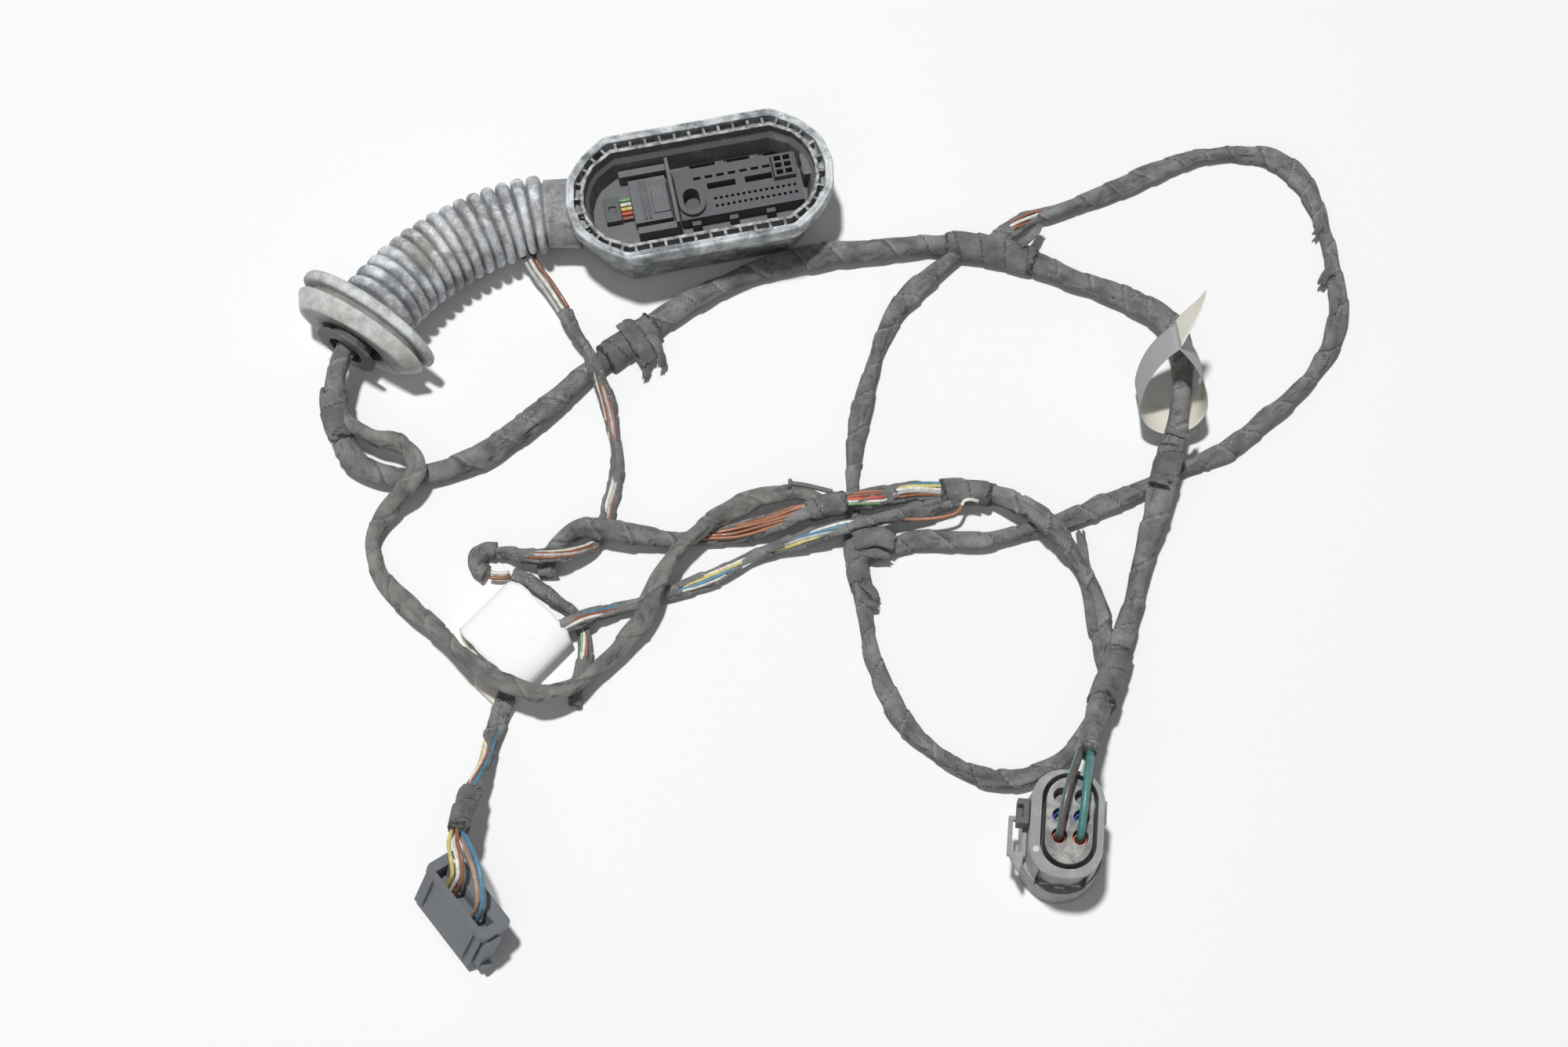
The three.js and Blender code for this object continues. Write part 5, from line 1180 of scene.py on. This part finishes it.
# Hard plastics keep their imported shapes, with eased edges.
# For each one, its material and how far its edges are eased, in millimetres.
hardLook = {
    "connector_carrier": (tubPlastic, 0.3), "station_housing": (darkPlastic, 0.18),
    "six_way_insert": (darkPlastic, 0.15), "locking_slide": (midPlastic, 0.25),
    "secondary_housing": (midPlastic, 0.3), "wire_lock_block": (darkPlastic, 0.3),
    "seal_housing": (sealPlastic, 0.45), "seal_insert": (insertPlastic, 0.22), "seal_latch": (darkPlastic, 0.4),
    "seal_lever": (sealPlastic, 0.45), "plug_housing": (cleanPlastic, 0.35), "plug_lock": (cleanPlastic, 0.4),
    "grommet_ring": (darkPlastic, 0.2), "wire_seal_blue_left": (blueRubber, 0.3),
    "wire_seal_blue_right": (blueRubber, 0.3), "wire_seal_red_left": (redRubber, 0.3),
    "wire_seal_red_right": (redRubber, 0.3), "boot_bundle": (tape, 0),
    "station_wire_1": (wires["brown"], 0), "station_wire_2": (wires["red"], 0),
    "station_wire_3": (wires["yellow"], 0), "station_wire_4": (wires["white"], 0),
    "station_wire_5": (wires["green"], 0)}
for name, (material, ease) in hardLook.items():
    obj = nodes[name]
    obj.data.materials.clear()
    obj.data.materials.append(material)
    obj.modifiers.new("weld", "WELD").merge_threshold = 0.00002
    if ease:
        bevel = obj.modifiers.new("eased_edges", "BEVEL")
        bevel.width = ease * mm
        bevel.segments = 2
        bevel.limit_method = "ANGLE"
        bevel.angle_limit = math.radians(32)
        bevel.harden_normals = True
print("plastics eased")

# A small plain dot moulded on the sealed connector, laid on whatever face is below its place
dotLook = {"place": (144.9, -150.2), "radius": 1.35, "thickness": 0.25, "corners": 20}


def mouldedDot(look):
    above = Vector((*look["place"], 200.0)) * mm
    found, spot, _, _ = nodes["seal_housing"].ray_cast(above, Vector((0, 0, -1)))
    if not found:
        print("no face below the dot")
        return
    count, radius = look["corners"], look["radius"]
    verts = [spot + Vector((radius * math.cos(fullTurn * i / count), radius * math.sin(fullTurn * i / count),
                            level * look["thickness"])) * mm for level in (-1, 1) for i in range(count)]
    paleDot = plasticMaterial("pale_dot", (0.62, 0.62, 0.6), (0.4, 0.4, 0.4), 0.2, 0.6)
    ridden(meshObject("moulded_dot", verts, prismFaces(count), paleDot, smooth=False), "seal_plastic")
    print("dot at", [round(v / mm, 1) for v in spot])


mouldedDot(dotLook)


# Paper labels, left without print
def paperMaterial(name, color, stain):
    mat, tree, shader = newMaterial(name)
    place = objectPlace(tree)
    spots = ramp(tree, noiseAt(tree, place, 150.0, 5.0, 0.7), [(0.6, black), (0.72, white)])
    base = mixed(tree, maths(tree, "MULTIPLY", spots, 0.45), color, stain)
    tree.links.new(base, shader.inputs["Base Color"])
    shader.inputs["Roughness"].default_value = 0.75
    bumped(tree, shader, noiseAt(tree, place, 700.0, 5.0, 0.7), 0.3, 0.0002)
    return mat


whitePaper = paperMaterial("white_paper", (0.94, 0.94, 0.935), (0.8, 0.79, 0.75))
creamPaper = paperMaterial("cream_paper", (0.8, 0.77, 0.68), (0.42, 0.3, 0.19))
greyPaper = paperMaterial("grey_paper", (0.39, 0.395, 0.405), (0.3, 0.29, 0.28))


# A sheet whose two sides and rim can differ in colour
def paperSheet(name, rows, outer, inner, thickness=0.0003):
    obj = meshObject(name, [v for row in rows for v in row], sheetFaces(rows), [inner, outer])
    solid = thickened(obj, thickness)
    solid.material_offset = 1
    solid.material_offset_rim = 1
    return obj


# Rows of points: point(t, across) gives the place at shares of the sheet's two sides
def sheetRows(steps, columns, point):
    return [[point(i / steps, j / columns) for j in range(columns + 1)] for i in range(steps + 1)]


# The pocket label is a flattened roll round two branches
pocketLook = {"place": (-72.4, -48.6, 7.0), "yaw": 47, "length": 34, "width": 40, "height": 13.4, "inset": 0.3,
              "floor": 0.5, "rounding": 0.16, "uneven": 0.035, "bow": 0.5}


def pocketPoint(t, across):
    look = pocketLook
    turn, angle = math.radians(look["yaw"]), fullTurn * t
    c, s = math.cos(angle), math.sin(angle)
    x = (look["width"] / 2 - look["inset"]) * math.copysign(abs(c) ** 0.75, c)
    z = (look["height"] / 2 - look["inset"]) * math.copysign(abs(s) ** 0.8, s)
    rounded = 1 - look["rounding"] * abs(c) ** 5
    uneven = 1 + look["uneven"] * noise.noise(Vector((4 * c, 4 * s, 1.0 if across > 0.5 else -1.0)))
    v = (across - 0.5) * look["length"] * rounded * uneven
    bow = look["bow"] * noise.noise(Vector((x * 0.08, v * 0.08, z * 0.1)))
    y = v + 0.35 * math.sin(angle * 2)
    return Vector((look["place"][0] - x * math.sin(turn) + y * math.cos(turn),
                   look["place"][1] + x * math.cos(turn) + y * math.sin(turn),
                   max(look["floor"], look["place"][2] + z + bow * (1 if z > 0 else 0.1)))) * mm


pocket = paperSheet("pocket_paper", sheetRows(36, 18, pocketPoint), whitePaper, creamPaper)
ridden(pocket, "paper", "pocket_label")

# The label's lower layer sticks out beyond its pocket
layerLook = {"inner": ((-91.6, -53.2, 5.0), (-65.8, -67.3, 5.0)),
             "outer": ((-89.6, -69.6, 1.2), (-74.9, -83.9, 1.0)),
             "arch": 1.6, "ripple": 0.4, "floor": 0.5}


def layerPoint(t, across):
    look = layerLook
    start, end = (Vector(look[side][0]).lerp(Vector(look[side][1]), across) for side in ("inner", "outer"))
    q = start.lerp(end, t)
    q.z += look["arch"] * math.sin(math.pi * t) * (1 - across)
    q.z += look["ripple"] * noise.noise(Vector((q.x * 0.1, q.y * 0.1, 2)))
    return Vector((q.x, q.y, max(look["floor"], q.z))) * mm


ridden(paperSheet("pocket_lower_layer", sheetRows(14, 12, layerPoint), creamPaper, whitePaper), "paper")

# The flag label is a drop-shaped loop of tape round the trunk, whose tail bends over to a point
flagLook = {"place": (211, 61, 0.4), "lean": -10, "tilt": 57, "width": 30, "height": 45, "band": 21, "tail": 25,
            "tailAngle": 14, "neckShift": 5, "tipFrom": 0.5, "tipWidth": 0.1, "bow": 0.35, "bend": 3.2}
flagRadius = flagLook["width"] / 2 - 0.25
flagApex = flagLook["height"] - 0.8


def inFlag(x, y, z):
    b, c = math.radians(flagLook["lean"]), math.radians(flagLook["tilt"])
    x, y = x * math.cos(b) - y * math.sin(b), x * math.sin(b) + y * math.cos(b)
    y, z = y * math.cos(c) - z * math.sin(c), y * math.sin(c) + z * math.cos(c)
    return (Vector((x, y, z)) + Vector(flagLook["place"])) * mm


# Half a circle below, and a curved side on each hand that meets at the apex
def flagOutline():
    centre = flagLook["width"] / 2
    below, side = [], []
    for i in range(17):
        angle = math.pi + math.pi * i / 16
        below.append((flagRadius * math.cos(angle), centre + flagRadius * math.sin(angle)))
    for i in range(1, 15):
        t = i / 14
        side.append(((1 - t) ** 2 * flagRadius + 2 * (1 - t) * t * flagRadius,
                     (1 - t) ** 2 * centre + 2 * (1 - t) * t * 30.6 + t * t * flagApex))
    return [(0.0, flagApex)] + [(-x, y) for x, y in reversed(side[:-1])] + below + side


def flagBandRow(x, y):
    centre = flagLook["width"] / 2
    x -= flagLook["neckShift"] * max(0.0, (y - centre) / (flagApex - centre)) ** 1.5
    row = []
    for j in range(13):
        bow = flagLook["bow"] * math.sin(math.pi * j / 12 + x * 0.2)
        row.append(inFlag(x + bow * (x / 15), y, flagLook["band"] * j / 12))
    return row


def flagTailPoint(t, across):
    look = flagLook
    turn = math.radians(-look["tailAngle"])
    narrow = t ** 1.3
    z = look["band"] * ((1 - narrow) * across + narrow * (look["tipFrom"] + look["tipWidth"] * across))
    x = look["bend"] * math.sin(math.pi * t) * t * 0.4 - look["neckShift"]
    y = look["tail"] * t * (0.93 + 0.07 * math.sin(2.4 * across))
    c, s = math.cos(turn), math.sin(turn)
    return inFlag(x * c - y * s, flagApex + x * s + y * c, z)


flagRows = [flagBandRow(x, y) for x, y in flagOutline()]
ridden(paperSheet("flag_paper", flagRows, greyPaper, creamPaper, 0.00035), "paper", "flag_label")
ridden(paperSheet("flag_tail", sheetRows(16, 12, flagTailPoint), whitePaper, creamPaper, 0.0005), "paper")
print("labels made")

# The floor is lit paper near the part and plain white, to the camera only, away from it
floorLook = {"reach": 6.0, "below": 0.0004, "color": (0.93, 0.935, 0.93), "glow": (0.97, 0.98, 0.98),
             "fadeFrom": 0.24, "fadeTo": 0.5}


def shadersMixed(tree, factor, a, b, output):
    mix = tree.nodes.new("ShaderNodeMixShader")
    tree.links.new(factor, mix.inputs["Fac"])
    tree.links.new(a, mix.inputs[1])
    tree.links.new(b, mix.inputs[2])
    tree.links.new(mix.outputs["Shader"], output.inputs["Surface"])


def floorPaper(look):
    mat, tree, shader = newMaterial("floor_paper")
    shader.inputs["Base Color"].default_value = (*look["color"], 1)
    shader.inputs["Roughness"].default_value = 0.9
    shader.inputs["Specular IOR Level"].default_value = 0.0
    spread = tree.nodes.new("ShaderNodeVectorMath")
    spread.operation = "LENGTH"
    tree.links.new(objectPlace(tree), spread.inputs[0])
    halved = maths(tree, "MULTIPLY", spread.outputs["Value"], 0.5)
    distant = ramp(tree, halved, [(look["fadeFrom"], black), (look["fadeTo"], white)])
    rays = tree.nodes.new("ShaderNodeLightPath")
    farWhite = maths(tree, "MULTIPLY", distant, rays.outputs["Is Camera Ray"])
    glow = tree.nodes.new("ShaderNodeEmission")
    glow.inputs["Color"].default_value = (*look["glow"], 1)
    glow.inputs["Strength"].default_value = 1.0
    output = tree.nodes["Material Output"]
    shadersMixed(tree, farWhite, shader.outputs["BSDF"], glow.outputs["Emission"], output)
    return mat


reach = floorLook["reach"]
floor = meshObject("floor", [(-reach, -reach, 0), (reach, -reach, 0), (reach, reach, 0), (-reach, reach, 0)],
                   [(0, 1, 2, 3)], floorPaper(floorLook), smooth=False)
floor.location.z = -floorLook["below"]
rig.stage(floor)

# Soft studio light: a small high key, a wide weak fill and a dim world
lightLook = {"target": (0.05, 0.0, 0.0),
             "key": {"place": (-0.45, 0.42, 4.2), "size": 0.32, "watts": 152.0},
             "fill": {"place": (-0.4, -1.3, 1.9), "size": 2.4, "watts": 4.0}}
for name in ("key", "fill"):
    look = lightLook[name]
    data = bpy.data.lights.new(name, "AREA")
    data.shape = "DISK"
    data.size = look["size"]
    data.energy = look["watts"]
    lamp = bpy.data.objects.new(name, data)
    bpy.context.collection.objects.link(lamp)
    lamp.location = look["place"]
    aim = Vector(lightLook["target"]) - Vector(look["place"])
    lamp.rotation_euler = aim.to_track_quat("-Z", "Y").to_euler()

# The world is white to the eye, in gloss and through glass, and dim as a light
worldLook = {"light": (0.95, 0.98, 1.0), "strength": 0.13, "seen": (1, 1, 1)}


def worldBackground(tree, color, strength):
    node = tree.nodes.new("ShaderNodeBackground")
    node.inputs["Color"].default_value = (*color, 1)
    node.inputs["Strength"].default_value = strength
    return node.outputs["Background"]


world = bpy.data.worlds.new("studio")
bpy.context.scene.world = world
world.use_nodes = True
worldTree = world.node_tree
worldTree.nodes.clear()
output = worldTree.nodes.new("ShaderNodeOutputWorld")
rays = worldTree.nodes.new("ShaderNodeLightPath")
seen = maths(worldTree, "MAXIMUM", rays.outputs["Is Camera Ray"], rays.outputs["Is Glossy Ray"])
seen = maths(worldTree, "MAXIMUM", seen, rays.outputs["Is Transmission Ray"])
shadersMixed(worldTree, seen, worldBackground(worldTree, worldLook["light"], worldLook["strength"]),
             worldBackground(worldTree, worldLook["seen"], 1.0), output)
print("stage set")

with open("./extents.json", "w") as handle:
    json.dump({"cad": [list(corner) for corner in cadBox], "visual": [list(corner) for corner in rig.bounds()]}, handle)
